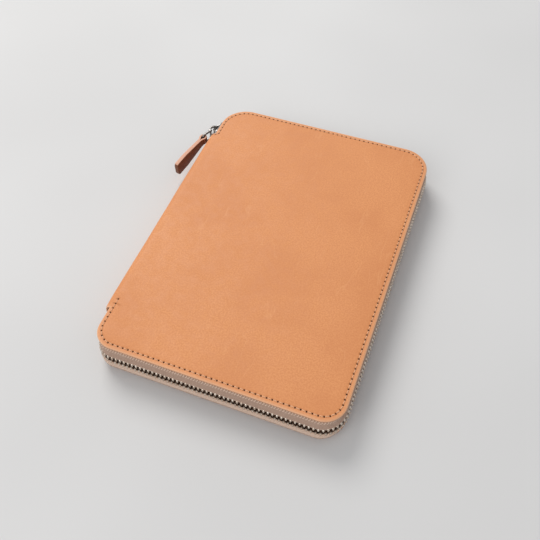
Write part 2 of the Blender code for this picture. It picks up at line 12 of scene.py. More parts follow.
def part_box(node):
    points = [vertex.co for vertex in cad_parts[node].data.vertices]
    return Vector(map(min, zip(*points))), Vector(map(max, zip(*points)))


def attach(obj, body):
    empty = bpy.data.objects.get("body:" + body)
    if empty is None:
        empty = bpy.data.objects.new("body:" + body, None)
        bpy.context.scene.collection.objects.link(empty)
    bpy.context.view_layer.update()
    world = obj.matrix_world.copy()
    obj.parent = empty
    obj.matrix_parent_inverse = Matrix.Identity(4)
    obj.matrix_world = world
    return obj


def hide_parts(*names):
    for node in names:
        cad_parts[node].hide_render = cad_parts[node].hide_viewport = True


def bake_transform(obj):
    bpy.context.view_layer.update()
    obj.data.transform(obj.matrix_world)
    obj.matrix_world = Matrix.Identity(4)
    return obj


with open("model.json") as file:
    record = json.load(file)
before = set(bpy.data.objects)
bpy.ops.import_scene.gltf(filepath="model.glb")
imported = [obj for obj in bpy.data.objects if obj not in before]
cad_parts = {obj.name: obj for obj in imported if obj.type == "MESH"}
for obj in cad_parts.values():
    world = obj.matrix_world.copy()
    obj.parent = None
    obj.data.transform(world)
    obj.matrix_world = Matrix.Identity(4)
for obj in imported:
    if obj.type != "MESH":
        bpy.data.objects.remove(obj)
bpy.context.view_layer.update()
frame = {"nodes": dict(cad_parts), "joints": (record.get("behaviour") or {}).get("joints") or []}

# Looks of a zip-around leather pen case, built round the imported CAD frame.
# Lengths are in millimetres until a mesh is written, and MM turns them into metres.
MM = 0.001


def node_box(name):
    low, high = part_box(name)
    return low / MM, high / MM


FRONT_LOW, FRONT_HIGH = node_box("front_leather")
SPINE_LOW, SPINE_HIGH = node_box("spine_leather")
SLIDER_LOW, SLIDER_HIGH = node_box("slider_body")
GAP = 0.3                   # air between CAD pieces that touch on the real case
LEFT, RIGHT = FRONT_LOW.x, FRONT_HIGH.x
BOTTOM, TOP = FRONT_LOW.y, FRONT_HIGH.y
THICK = FRONT_HIGH.z
MID = THICK / 2
LEATHER = FRONT_HIGH.z - FRONT_LOW.z
CUT_LEFT = LEFT + 3.0       # cut edge by the two corners next to the spine
NOTCH_TOP = SPINE_HIGH.y + GAP
NOTCH_BOTTOM = SPINE_LOW.y - GAP
TOP_RADIUS, BOTTOM_RADIUS = 18.0, 13.0

# Fold of the leather from a cover into the spine
FOLD_X = -69.0
FOLD_DEPTH = 7.4            # from the fold's start to the spine's outer face
FOLD_POWER = 2.9
FOLD_BLEND_START = (-68.5, 0, 22.0)     # where a front cover's leather was to start following the spine; fold_blend reads it but applies no blend
FOLD_BLEND_END = (-76.2, 0, 14.5)       # and where it was to follow it fully

# Seam
SEAM_INSET = 2.6
TACK_OUT, TACK_DROP = 2.4, 1.3          # the tack past the cut edge, and below the top notch
SEAM_END_Y = BOTTOM + 30.3
STITCH = 3.15
HOLE_RADIUS = 0.50
NO_HOLE = 9.0               # distance to a hole on the inner face, which shows none
THREAD_RADIUS = 0.27
# Share of a stitch's run and the height of its top over the leather
STITCH_RISE = ((0.12, -0.55), (0.155, -0.28), (0.21, -0.04), (0.34, 0.08), (0.5, 0.10),
               (0.66, 0.08), (0.79, -0.04), (0.845, -0.28), (0.88, -0.55))

# Zip
PITCH = 2.54
TAPE_START, TEETH_START = 0.4, 2.5      # from a notch, along the cut edge
# By the way the cut edge faces: how far the teeth with the upper tape, and the lower tape,
# stand outside it, and how deep both tapes sink between the leather and the teeth
TEETH_OUT = {"head": 1.0, "top": 0.7, "right": -0.1, "bottom": 1.1, "tail": -0.8}
LOW_BULGE = {"head": 0.8, "top": 1.2, "right": 0.3, "bottom": 3.2, "tail": -0.4}
TAPE_SINK = {"head": 0.2, "top": 0.1, "right": 1.0, "bottom": 0.0, "tail": 0.8}


# Paths ---------------------------------------------------------------------------

def corner_arc(corner, before, after, radius, step=math.radians(3)):
    corner, before, after = Vector(corner), Vector(before), Vector(after)
    if radius <= 0:
        return [tuple(corner)]
    one, two = (before - corner).normalized(), (after - corner).normalized()
    half = one.angle(two) / 2
    centre = corner + (one + two).normalized() * radius / math.sin(half)
    start = corner + one * radius / math.tan(half) - centre
    turn = math.pi - 2 * half
    if start.x * one.y - start.y * one.x > 0:
        turn = -turn
    count = max(2, math.ceil(abs(turn) / step))
    points = []
    for index in range(count + 1):
        angle = turn * index / count
        c, s = math.cos(angle), math.sin(angle)
        points.append((centre.x + start.x * c - start.y * s,
                       centre.y + start.x * s + start.y * c))
    return points


def rounded(corners):
    """Open path through (x, y, radius) corners, whose first and last are its ends."""
    points = [corners[0][:2]]
    for index in range(1, len(corners) - 1):
        x, y, radius = corners[index]
        points += corner_arc((x, y), corners[index - 1][:2], corners[index + 1][:2], radius)
    points.append(corners[-1][:2])
    return np.array(points, float)


def lengths_of(points):
    steps = np.linalg.norm(np.diff(points, axis=0), axis=1)
    return np.concatenate([[0.0], np.cumsum(steps)])


def at_lengths(points, where):
    total = lengths_of(points)
    return np.stack([np.interp(where, total, points[:, k])
                     for k in range(points.shape[1])], axis=1)


def resample(points, spacing):
    total = lengths_of(points)[-1]
    count = max(2, round(total / spacing))
    return at_lengths(points, np.linspace(0, total, count + 1))


def directions(points):
    """Unit tangents of an open path."""
    along = np.gradient(points, axis=0)
    return along / np.linalg.norm(along, axis=1)[:, None]


def outward(points):
    """Unit normals on the left of an open path, which is outwards on a clockwise one."""
    along = directions(points)
    return np.stack([-along[:, 1], along[:, 0]], axis=1)


def edge_path(inset=0.0):
    """The covers' cut edge from the top notch round to the bottom notch, or a line inside it."""
    left, right = CUT_LEFT + inset, RIGHT - inset
    top, bottom = TOP - inset, BOTTOM + inset
    top_radius, bottom_radius = TOP_RADIUS - inset, BOTTOM_RADIUS - inset
    return rounded([(left, NOTCH_TOP, 0), (left, top, top_radius), (right, top, top_radius),
                    (right, bottom, bottom_radius), (left, bottom, bottom_radius),
                    (left, NOTCH_BOTTOM, 0)])


def fold_profile():
    """Section of the spine from the top of the fold to mid-height, by arc length."""
    angle = np.linspace(0, math.pi / 2, 900)
    x = FOLD_X - FOLD_DEPTH * np.sin(angle) ** (2 / FOLD_POWER)
    z = MID + MID * np.cos(angle) ** (2 / FOLD_POWER)
    line = resample(np.stack([x, z], axis=1), 0.1)
    return line, lengths_of(line), -outward(line)


FOLD_LINE, FOLD_ARC, FOLD_NORMAL = fold_profile()
FLAT_END = FOLD_X - FOLD_ARC[-1]


def leather_place(flat, height):
    """Flat (across, along) points of a cover and their heights, wrapped round the fold."""
    arc = np.clip(FOLD_X - flat[:, 0], 0, FOLD_ARC[-1])
    folded = flat[:, 0] < FOLD_X
    x = np.where(folded, np.interp(arc, FOLD_ARC, FOLD_LINE[:, 0]), flat[:, 0])
    z = np.where(folded, np.interp(arc, FOLD_ARC, FOLD_LINE[:, 1]), THICK)
    nx = np.where(folded, np.interp(arc, FOLD_ARC, FOLD_NORMAL[:, 0]), 0.0)
    nz = np.where(folded, np.interp(arc, FOLD_ARC, FOLD_NORMAL[:, 1]), 1.0)
    return np.stack([x + nx * height, flat[:, 1], z + nz * height], axis=1)


def mirrored(points):
    """The same place on the back half."""
    turned = np.array(points, float)
    turned[:, 2] = THICK - turned[:, 2]
    return turned


# Meshes --------------------------------------------------------------------------

def new_object(name, verts, faces, materials, flip=False, smooth=True):
    """An object from points in millimetres. With flip, its faces turn over."""
    mesh = bpy.data.meshes.new(name)
    if flip:
        faces = [tuple(reversed(face)) for face in faces]
    mesh.from_pydata((np.asarray(verts, float) * MM).tolist(), [], [list(f) for f in faces])
    for material in materials if isinstance(materials, (list, tuple)) else [materials]:
        mesh.materials.append(material)
    if smooth:
        mesh.shade_smooth()
    item = bpy.data.objects.new(name, mesh)
    bpy.context.scene.collection.objects.link(item)
    return item


def add_uv(item, per_vertex):
    """UV map FlatUV from one (u, v) per vertex, in millimetres."""
    mesh = item.data
    layer = mesh.uv_layers.new(name="FlatUV")
    loops = np.zeros(len(mesh.loops), np.int32)
    mesh.loops.foreach_get("vertex_index", loops)
    values = np.asarray(per_vertex, np.float32)[loops]
    layer.data.foreach_set("uv", values.ravel())


def add_value(item, name, values):
    attribute = item.data.attributes.new(name, "FLOAT", "POINT")
    attribute.data.foreach_set("value", np.asarray(values, np.float32))


def nearest(points, samples):
    tree = KDTree(len(samples))
    for index, (x, y) in enumerate(samples):
        tree.insert((x, y, 0), index)
    tree.balance()
    return np.array([tree.find((x, y, 0))[2] for x, y in points])


def smoothstep(low, high, value):
    share = np.clip((np.asarray(value, float) - low) / (high - low), 0, 1)
    return share * share * (3 - 2 * share)


def swept(name, rings, materials, closed_path=False, flip=False):
    """Tube through rings of the same number of points, with its ends capped."""
    rings = np.asarray(rings, float)
    stations, count = rings.shape[:2]
    faces = []
    for first in range(stations if closed_path else stations - 1):
        second = (first + 1) % stations
        for index in range(count):
            following = (index + 1) % count
            faces.append((first * count + index, second * count + index,
                          second * count + following, first * count + following))
    if not closed_path:
        faces.append(tuple(range(count)))
        faces.append(tuple(reversed(range((stations - 1) * count, stations * count))))
    return new_object(name, rings.reshape(-1, 3), faces, materials, flip)


def tube_faces(stations, count, base):
    """Wall and end caps of a tube whose rings of points start at a base index."""
    faces = []
    for first in range(stations - 1):
        a, b = base + first * count, base + (first + 1) * count
        for step in range(count):
            following = (step + 1) % count
            faces.append((a + step, a + following, b + following, b + step))
    last = base + (stations - 1) * count
    faces.append(tuple(base + step for step in reversed(range(count))))
    faces.append(tuple(last + step for step in range(count)))
    return faces


def sharpen(item, degrees):
    item.data.set_sharp_from_angle(angle=math.radians(degrees))


def paint(item, kinds):
    """Give each face the material with its number."""
    item.data.polygons.foreach_set("material_index", np.array(kinds, np.int32))


def recalculated(item):
    edit = bmesh.new()
    edit.from_mesh(item.data)
    bmesh.ops.recalc_face_normals(edit, faces=edit.faces)
    edit.to_mesh(item.data)
    edit.free()
    return item


def rounded_rectangle(half_width, half_height, radius, steps=3):
    points = []
    for sx, sy, start in ((1, 1, 0), (-1, 1, 90), (-1, -1, 180), (1, -1, 270)):
        for step in range(steps + 1):
            angle = math.radians(start + 90 * step / steps)
            points.append((sx * (half_width - radius) + radius * math.cos(angle),
                           sy * (half_height - radius) + radius * math.sin(angle)))
    return points


def joined(name, items):
    with bpy.context.temp_override(active_object=items[0], selected_editable_objects=items):
        bpy.ops.object.join()
    items[0].name = name
    items[0].data.name = name
    return items[0]


def bevelled(item, width, segments=3, angle=35):
    modifier = item.modifiers.new("rim", "BEVEL")
    modifier.width = width * MM
    modifier.segments = segments
    modifier.limit_method = "ANGLE"
    modifier.angle_limit = math.radians(angle)
    graph = bpy.context.evaluated_depsgraph_get()
    mesh = bpy.data.meshes.new_from_object(item.evaluated_get(graph))
    item.modifiers.clear()
    item.data = mesh
    mesh.shade_smooth()
    mesh.set_sharp_from_angle(angle=math.radians(50))
    return item


def prism(name, outline, low, high, frame_matrix, materials):
    """An outline (a, b) raised from low to high along the frame's third axis."""
    count = len(outline)
    verts = [(a, b, low) for a, b in outline] + [(a, b, high) for a, b in outline]
    faces = [tuple(reversed(range(count))), tuple(range(count, 2 * count))]
    for index in range(count):
        following = (index + 1) % count
        faces.append((index, following, count + following, count + index))
    placed = [tuple(frame_matrix @ Vector(v)) for v in verts]
    return recalculated(new_object(name, placed, faces, materials))


# Materials -----------------------------------------------------------------------

class Shader:
    """A Principled material and the short cuts for wiring its nodes."""

    def __init__(self, name, colour, roughness, metallic=0.0):
        self.material = bpy.data.materials.new(name)
        self.material.use_nodes = True
        self.tree = self.material.node_tree
        self.main = self.tree.nodes["Principled BSDF"]
        self.main.inputs["Base Color"].default_value = (*colour, 1)
        self.main.inputs["Roughness"].default_value = roughness
        self.main.inputs["Metallic"].default_value = metallic

    def node(self, kind, settings=(), **inputs):
        item = self.tree.nodes.new("ShaderNode" + kind)
        for key, value in dict(settings).items():
            setattr(item, key, value)
        for key, value in inputs.items():
            self.put(item.inputs[key.replace("_", " ")], value)
        return item

    def put(self, socket, value):
        if hasattr(value, "is_output"):
            self.tree.links.new(value, socket)
        elif hasattr(value, "outputs"):
            self.tree.links.new(value.outputs[0], socket)
        elif isinstance(value, tuple) and len(value) == 3 and socket.type == "RGBA":
            socket.default_value = (*value, 1)
        else:
            socket.default_value = value

    def math(self, operation, first, second=None, third=None):
        item = self.tree.nodes.new("ShaderNodeMath")
        item.operation = operation
        for index, value in enumerate((first, second, third)):
            if value is not None:
                self.put(item.inputs[index], value)
        return item.outputs[0]

    def mix(self, share, first, second, blend="MIX"):
        item = self.tree.nodes.new("ShaderNodeMix")
        item.data_type = "RGBA"
        item.blend_type = blend
        self.put(item.inputs[0], share)
        self.put(item.inputs[6], first)
        self.put(item.inputs[7], second)
        return item.outputs[2]

    def ramp(self, value, low, high, start=0.0, end=1.0):
        item = self.tree.nodes.new("ShaderNodeMapRange")
        item.interpolation_type = "SMOOTHSTEP"
        self.put(item.inputs["Value"], value)
        item.inputs["From Min"].default_value = low
        item.inputs["From Max"].default_value = high
        item.inputs["To Min"].default_value = start
        item.inputs["To Max"].default_value = end
        return item.outputs["Result"]

    def tint(self, colour, other, value, low, high, amount):
        """Another colour mixed in by a ramp over a value, up to an amount."""
        share = self.math("MULTIPLY", self.ramp(value, low, high), amount)
        return self.mix(share, colour, other)

    def noise(self, where, scale, detail=2.0, rough=0.5, distortion=0.0):
        item = self.node("TexNoise", Vector=where, Scale=scale, Detail=detail,
                         Roughness=rough, Distortion=distortion)
        return item.outputs["Fac"]

    def place(self, uv):
        """Millimetre coordinates that stay with the surface."""
        if uv:
            return self.node("UVMap", {"uv_map": "FlatUV"}).outputs["UV"]
        source = self.node("TexCoord").outputs["Object"]
        scaled = self.node("VectorMath", {"operation": "SCALE"}, Vector=source, Scale=1 / MM)
        return scaled.outputs[0]

    def stretched(self, where, x, y, z=1.0, turn=0.0):
        item = self.node("Mapping", Vector=where)
        item.inputs["Scale"].default_value = (x, y, z)
        item.inputs["Rotation"].default_value = (0, 0, turn)
        return item.outputs[0]

    def value(self, name):
        return self.node("Attribute", {"attribute_name": name}).outputs["Fac"]

    def bump(self, height, distance, strength=1.0, normal=None):
        item = self.node("Bump", Height=height, Distance=distance * MM, Strength=strength)
        if normal is not None:
            self.tree.links.new(normal, item.inputs["Normal"])
        return item.outputs["Normal"]

    def finish(self, colour=None, roughness=None, normal=None, **constants):
        if colour is not None:
            self.put(self.main.inputs["Base Color"], colour)
        if roughness is not None:
            self.put(self.main.inputs["Roughness"], roughness)
        if normal is not None:
            self.put(self.main.inputs["Normal"], normal)
        for key, value in constants.items():
            self.main.inputs[key.replace("_", " ")].default_value = value
        return self.material


def leather(name, base, dark, light, uv=True, veins=True, rim=False, seed=0.0):
    """Vegetable-tanned leather: cloudy tone, grain and pores, with pale veins on a cover."""
    s = Shader(name, base, 0.55)
    shifted = s.node("VectorMath", {"operation": "ADD"}, Vector=s.place(uv))
    shifted.inputs[1].default_value = (seed, seed * 0.7, seed * 0.3)
    spot = shifted.outputs[0]
    cloud = s.noise(spot, 0.022, 3.0, 0.55, 0.4)
    mottle = s.noise(spot, 0.16, 4.0, 0.6)
    grain = s.noise(spot, 1.5, 3.0, 0.6)
    pores = s.node("TexVoronoi", Vector=spot, Scale=1.9).outputs["Distance"]
    colour = s.tint(base, dark, cloud, 0.36, 0.66, 0.5)
    colour = s.tint(colour, light, mottle, 0.40, 0.74, 0.20)
    colour = s.tint(colour, dark, grain, 0.38, 0.66, 0.42)
    colour = s.tint(colour, dark, pores, 0.45, 0.10, 0.22)
    speckle = s.noise(spot, 1.05, 2.0, 0.6)
    colour = s.tint(colour, dark, speckle, 0.40, 0.60, 0.62)
    bump = s.bump(grain, 0.035)
    bump = s.bump(pores, 0.03, 0.8, bump)
    bump = s.bump(mottle, 0.10, 0.6, bump)
    if veins:
        lines = s.noise(s.stretched(spot, 1.0, 0.22, 1.0, 0.10), 0.060, 3.0, 0.5, 0.3)
        line = s.math("ABSOLUTE", s.math("SUBTRACT", lines, 0.5))
        line = s.ramp(line, 0.0, 0.010, 1.0, 0.0)
        patch = s.ramp(s.noise(spot, 0.05, 1.0), 0.46, 0.60)
        line = s.math("MULTIPLY", line, patch)
        scuff = s.noise(s.stretched(spot, 0.25, 2.6, 1.0, 0.9), 0.42, 2.0, 0.5, 0.2)
        scuff = s.ramp(scuff, 0.72, 0.80)
        marks = s.math("MAXIMUM", line, s.math("MULTIPLY", scuff, 0.55))
        colour = s.mix(s.math("MULTIPLY", marks, 0.20), colour, light)
        bump = s.bump(line, -0.05, 0.6, bump)
    if rim:
        # Painted highlight: the outer face is painted paler along the cut edge, where the rolled
        # edge catches the light.
        colour = s.mix(s.math("MULTIPLY", s.value("rim"), 0.80), colour, (0.86, 0.52, 0.32))
        # Painted shade: the needle holes are painted dark brown, where shade falls into them.
        colour = s.mix(s.value("hole"), colour, (0.125, 0.038, 0.015))
    rough = s.ramp(mottle, 0.3, 0.75, 0.50, 0.64)
    return s.finish(colour, rough, bump, Specular_IOR_Level=0.42, Sheen_Weight=0.06)


def cut_leather(name, base, dark):
    """Raw cut edge: fibres in short streaks, a little burnished."""
    s = Shader(name, base, 0.7)
    spot = s.place(False)
    fibre = s.noise(s.stretched(spot, 1.0, 1.0, 4.0), 1.6, 4.0, 0.65)
    fleck = s.noise(spot, 5.0, 2.0, 0.6)
    colour = s.mix(s.ramp(fibre, 0.35, 0.7), dark, base)
    bump = s.bump(fleck, 0.05, 0.8, s.bump(fibre, 0.08))
    return s.finish(colour, s.ramp(fleck, 0.3, 0.7, 0.6, 0.8), bump)


def thread_material(name, base, dark):
    s = Shader(name, base, 0.6)
    spot = s.place(True)
    part = s.node("SeparateXYZ", Vector=spot)
    twist = s.math("ADD", s.math("MULTIPLY", part.outputs[0], 7.0),
                   s.math("MULTIPLY", part.outputs[1], 2.0))
    twist = s.math("SINE", twist)
    fuzz = s.noise(spot, 3.0, 2.0)
    colour = s.mix(s.ramp(twist, -1.0, 0.6), dark, base)
    colour = s.mix(s.math("MULTIPLY", fuzz, 0.3), colour, dark)
    return s.finish(colour, None, s.bump(twist, 0.05), Sheen_Weight=0.3)


def tape_material(name, base, dark, light):
    """Zip tape: herringbone ribs in lanes along the tape, with a paler woven band."""
    s = Shader(name, base, 0.85)
    part = s.node("SeparateXYZ", Vector=s.place(True))
    along, across = part.outputs[0], part.outputs[1]
    lane = s.math("PINGPONG", across, 1.25)
    rib = s.math("SINE", s.math("MULTIPLY", s.math("ADD", along, lane), 2 * math.pi / 0.62))
    band = s.math("PINGPONG", across, 0.9)
    stripe = s.math("SINE", s.math("MULTIPLY", s.math("ADD", along, band),
                                   2 * math.pi / 1.6))
    near = s.ramp(s.math("ABSOLUTE", s.math("SUBTRACT", across, 4.9)), 0.5, 1.1, 1.0, 0.0)
    stripe = s.math("MULTIPLY", s.ramp(stripe, 0.0, 0.9), near)
    warp = s.math("SINE", s.math("MULTIPLY", across, 2 * math.pi / 0.42))
    fuzz = s.noise(s.place(False), 0.9, 3.0)
    colour = s.mix(s.ramp(rib, -0.9, 0.9), dark, base)
    colour = s.tint(colour, dark, fuzz, 0.35, 0.7, 0.35)
    colour = s.mix(s.math("MULTIPLY", stripe, 0.9), colour, light)
    # Painted highlight: the tape is painted paler along its cord by the teeth, as if lit where the
    # cord stands out as a ledge.
    colour = s.mix(s.math("MULTIPLY", s.value("cord"), 0.7), colour, light)
    bump = s.bump(rib, 0.07)
    bump = s.bump(warp, 0.03, 0.8, bump)
    bump = s.bump(stripe, 0.10, 0.8, bump)
    return s.finish(colour, None, bump, Sheen_Weight=0.25, Specular_IOR_Level=0.2)


def metal(name, base, dark, roughness=0.3, recess_shade=False):
    """Plated die-cast metal with cast pitting, rubbed spots and fine scratches."""
    s = Shader(name, base, roughness, 1.0)
    spot = s.place(False)
    pits = s.noise(spot, 1.4, 3.0, 0.6)
    cloud = s.noise(spot, 0.25, 2.0)
    scratch = s.noise(s.stretched(spot, 0.4, 7.0, 2.0, 0.6), 1.1, 2.0)
    colour = s.mix(s.ramp(cloud, 0.35, 0.7), base, dark)
    if recess_shade:
        # Painted shade: near-black painted where the teeth interlock by the zip's middle, where
        # shade falls.
        colour = s.mix(s.value("recess_shade"), colour, (0.055, 0.026, 0.014))
    rough = s.ramp(pits, 0.3, 0.75, roughness * 0.75, roughness * 1.45)
    bump = s.bump(scratch, 0.012, 0.6, s.bump(pits, 0.03, 0.7))
    return s.finish(colour, rough, bump)


def suede(name, base, dark, light):
    """Soft lining leather: short nap with brushed lighter and darker strokes."""
    s = Shader(name, base, 0.9)
    spot = s.place(False)
    nap = s.noise(spot, 2.2, 4.0, 0.7)
    stroke = s.noise(s.stretched(spot, 1.0, 0.35, 1.0, 0.5), 0.07, 3.0, 0.5, 0.6)
    colour = s.mix(s.ramp(stroke, 0.4, 0.62), base, dark)
    colour = s.tint(colour, light, nap, 0.45, 0.75, 0.5)
    bump = s.bump(nap, 0.09)
    return s.finish(colour, s.ramp(stroke, 0.3, 0.7, 0.82, 0.95), bump, Sheen_Weight=0.35,
                    Sheen_Roughness=0.6, Specular_IOR_Level=0.15)


def card(name, base, dark):
    """Pressed board: flat fibres and flecks."""
    s = Shader(name, base, 0.9)
    spot = s.place(False)
    fibre = s.noise(s.stretched(spot, 0.4, 3.0, 3.0), 0.9, 4.0, 0.7, 0.4)
    fleck = s.noise(spot, 3.4, 2.0)
    colour = s.mix(s.ramp(fibre, 0.35, 0.65), base, dark)
    colour = s.mix(s.ramp(fleck, 0.66, 0.72, 0.0, 0.5), colour, dark)
    return s.finish(colour, None, s.bump(fibre, 0.05))


def floor_material():
    s = Shader("floor_matt", (0.66, 0.655, 0.65), 0.85)
    spot = s.place(False)
    tone = s.noise(spot, 0.004, 2.0)
    tooth = s.noise(spot, 0.8, 2.0)
    colour = s.mix(s.ramp(tone, 0.3, 0.7), (0.66, 0.655, 0.65), (0.62, 0.615, 0.61))
    return s.finish(colour, None, s.bump(tooth, 0.02, 0.3))


HIDE = leather("cover_hide", (0.730, 0.302, 0.110), (0.590, 0.212, 0.070),
               (0.815, 0.388, 0.165), rim=True)
# Painted shade: the pull tab's leather is painted dark brown, the colour of its shaded inner face,
# on every face of the tab.
TAB_HIDE_SHADED = leather("tab_hide_painted_shade", (0.205, 0.070, 0.027), (0.150, 0.048, 0.018),
                     (0.30, 0.115, 0.050), uv=False, veins=False, seed=31.0)
CUT = cut_leather("cut_edge", (0.70, 0.37, 0.215), (0.52, 0.245, 0.125))
CUT_PALE = cut_leather("strap_cut_edge", (0.78, 0.45, 0.32), (0.62, 0.33, 0.22))
THREAD = thread_material("thread", (0.84, 0.46, 0.25), (0.70, 0.345, 0.165))
TAPE = tape_material("tape", (0.61, 0.400, 0.290), (0.41, 0.255, 0.180), (0.86, 0.64, 0.50))
TOOTH = metal("tooth_brass", (0.80, 0.70, 0.60), (0.62, 0.50, 0.40), 0.27, recess_shade=True)
NICKEL = metal("nickel", (0.37, 0.345, 0.33), (0.26, 0.245, 0.235), 0.32)
LINING = suede("lining_suede", (0.52, 0.30, 0.165), (0.42, 0.225, 0.115), (0.62, 0.39, 0.24))
FLAP = leather("flap_hide", (0.50, 0.245, 0.12), (0.41, 0.185, 0.085), (0.60, 0.33, 0.18),
               uv=False, veins=False, seed=77.0)
POCKET = leather("pocket_hide", (0.66, 0.32, 0.15), (0.56, 0.245, 0.105),
                 (0.78, 0.43, 0.23), uv=False, veins=False, seed=140.0)
BOARD = card("board", (0.50, 0.43, 0.33), (0.36, 0.30, 0.22))


# Cover leather and its seams -----------------------------------------------------

def seam_line():
    """The stitched line in flat (across, along), with the tack across its top end."""
    body = edge_path(inset=SEAM_INSET)
    tack = NOTCH_TOP - TACK_DROP
    start = [(CUT_LEFT - TACK_OUT, tack), (CUT_LEFT + SEAM_INSET, tack)]
    end = [(CUT_LEFT + SEAM_INSET, SEAM_END_Y)]
    return np.array(start + body[1:-1].tolist() + end)


SEAM = seam_line()
HOLES = resample(SEAM, STITCH)


def cover_cloud():
    """Flat points of a cover: its outline first, then rows that follow the edge."""
    cut = resample(edge_path(), 0.9)
    outline = [(FLAT_END, NOTCH_TOP)]
    outline += [(u, NOTCH_TOP) for u in np.linspace(FLAT_END, CUT_LEFT, 16)[1:-1]]
    outline += cut.tolist()
    outline += [(u, NOTCH_BOTTOM) for u in np.linspace(CUT_LEFT, FLAT_END, 16)[1:-1]]
    outline += [(FLAT_END, NOTCH_BOTTOM)]
    outline += [(FLAT_END, v) for v in np.linspace(NOTCH_BOTTOM, NOTCH_TOP, 62)[1:-1]]
    whole_cut = np.array([(u, NOTCH_TOP) for u in np.linspace(FLAT_END, CUT_LEFT, 130)]
                         + resample(edge_path(), 0.1).tolist()
                         + [(u, NOTCH_BOTTOM) for u in np.linspace(CUT_LEFT, FLAT_END, 130)])
    rows = []
    for inset in (0.12, 0.3, 0.6, 1.1, 1.7, 2.15, 2.6, 3.05, 3.6, 4.6, 6.2):
        beside = whole_cut[::9] - outward(whole_cut)[::9] * inset
        beside = beside[nearest(beside, whole_cut) > inset - 0.03]
        rows.append(beside)
    for inset in (-0.45, 0.0, 0.45):
        line = resample(SEAM, 0.8)
        rows.append(line + outward(line) * inset)
    u = np.concatenate([np.arange(FLAT_END + 0.7, FOLD_X + 2, 0.75),
                        np.arange(FOLD_X + 2, RIGHT, 3.0)])
    v = np.arange(BOTTOM + 1.5, TOP, 3.0)
    grid = np.stack(np.meshgrid(u, v), axis=-1).reshape(-1, 2)
    grid = grid + 0.25 * np.sin(grid[:, ::-1] * 1.7)
    rows.append(grid[nearest(grid, whole_cut) > 7.0])
    cloud = np.concatenate(rows)
    cloud = cloud[cloud[:, 0] > FLAT_END + 0.3]
    cloud = cloud[nearest(cloud, HOLES) > 0.70]
    circles = [HOLES]
    for radius, count in ((0.24, 6), (0.40, 9), (0.54, 11)):
        for step in range(count):
            angle = 2 * math.pi * step / count
            circles.append(HOLES + radius * np.array([math.cos(angle), math.sin(angle)]))
    cloud = np.concatenate([cloud] + circles)
    return np.array(outline), cloud, whole_cut


def thinned(points, fixed, distance):
    """Points that keep their distance from the fixed ones and from each other."""
    kept = []
    cells = {}

    def near(x, y):
        i, j = int(x // distance), int(y // distance)
        for a in (i - 1, i, i + 1):
            for b in (j - 1, j, j + 1):
                for p, q in cells.get((a, b), ()):
                    if (p - x) ** 2 + (q - y) ** 2 < distance * distance:
                        return True
        return False

    for x, y in fixed:
        cells.setdefault((int(x // distance), int(y // distance)), []).append((x, y))
    for x, y in points:
        if not near(x, y):
            cells.setdefault((int(x // distance), int(y // distance)), []).append((x, y))
            kept.append((x, y))
    return kept


def used_only(verts, faces):
    """The points that faces use, as an array, with the faces renumbered."""
    used = sorted({index for face in faces for index in face})
    number = {old: new for new, old in enumerate(used)}
    flat = np.array([tuple(verts[index]) for index in used])
    return flat, [tuple(number[index] for index in face) for face in faces]


def triangulated(outline, cloud):
    """Flat triangles over an outline and the points inside it."""
    points = [Vector(p) for p in outline] + [Vector(p) for p in cloud]
    verts, _, faces, *_ = delaunay_2d_cdt(points, [], [list(range(len(outline)))], 1, 1e-6)
    return used_only(verts, faces)


def cover_mesh():
    """Flat triangles of a cover with the height of its outer face over them."""
    outline, cloud, cut = cover_cloud()
    flat, faces = triangulated(outline, thinned(cloud[::-1], outline, 0.11))
    edge = nearest(flat, cut)
    seam = nearest(flat, resample(SEAM, 0.1))
    hole = nearest(flat, HOLES)
    height = -0.34 * np.sqrt(np.clip(1 - (np.clip(edge, 0, 0.6) / 0.6), 0, 1)) ** 3
    height -= 0.42 * np.exp(-edge / 3.2)
    height -= 0.10 * np.exp(-(seam / 0.6) ** 2)
    height -= 0.12 * np.exp(-(hole / 0.9) ** 2)
    height -= 1.0 * (1 - smoothstep(0.22, HOLE_RADIUS + 0.03, hole))
    u, v = flat[:, 0], flat[:, 1]
    soft = smoothstep(2, 16, edge)
    wave = (np.sin(u * 0.061 + 1.3) * np.sin(v * 0.043 + 0.4)
            + 0.6 * np.sin(u * 0.11 + v * 0.07 + 2.0) + 0.35 * np.sin(v * 0.19 - u * 0.05))
    height += 0.085 * wave * soft
    return flat, faces, height, edge, hole


FLAT, FLAT_FACES, FLAT_HEIGHT, FLAT_EDGE, FLAT_HOLE = cover_mesh()


def boundary_of(faces):
    sides = {}
    for face in faces:
        for a, b in zip(face, list(face[1:]) + [face[0]]):
            if (b, a) in sides:
                del sides[(b, a)]
            else:
                sides[(a, b)] = True
    return list(sides)


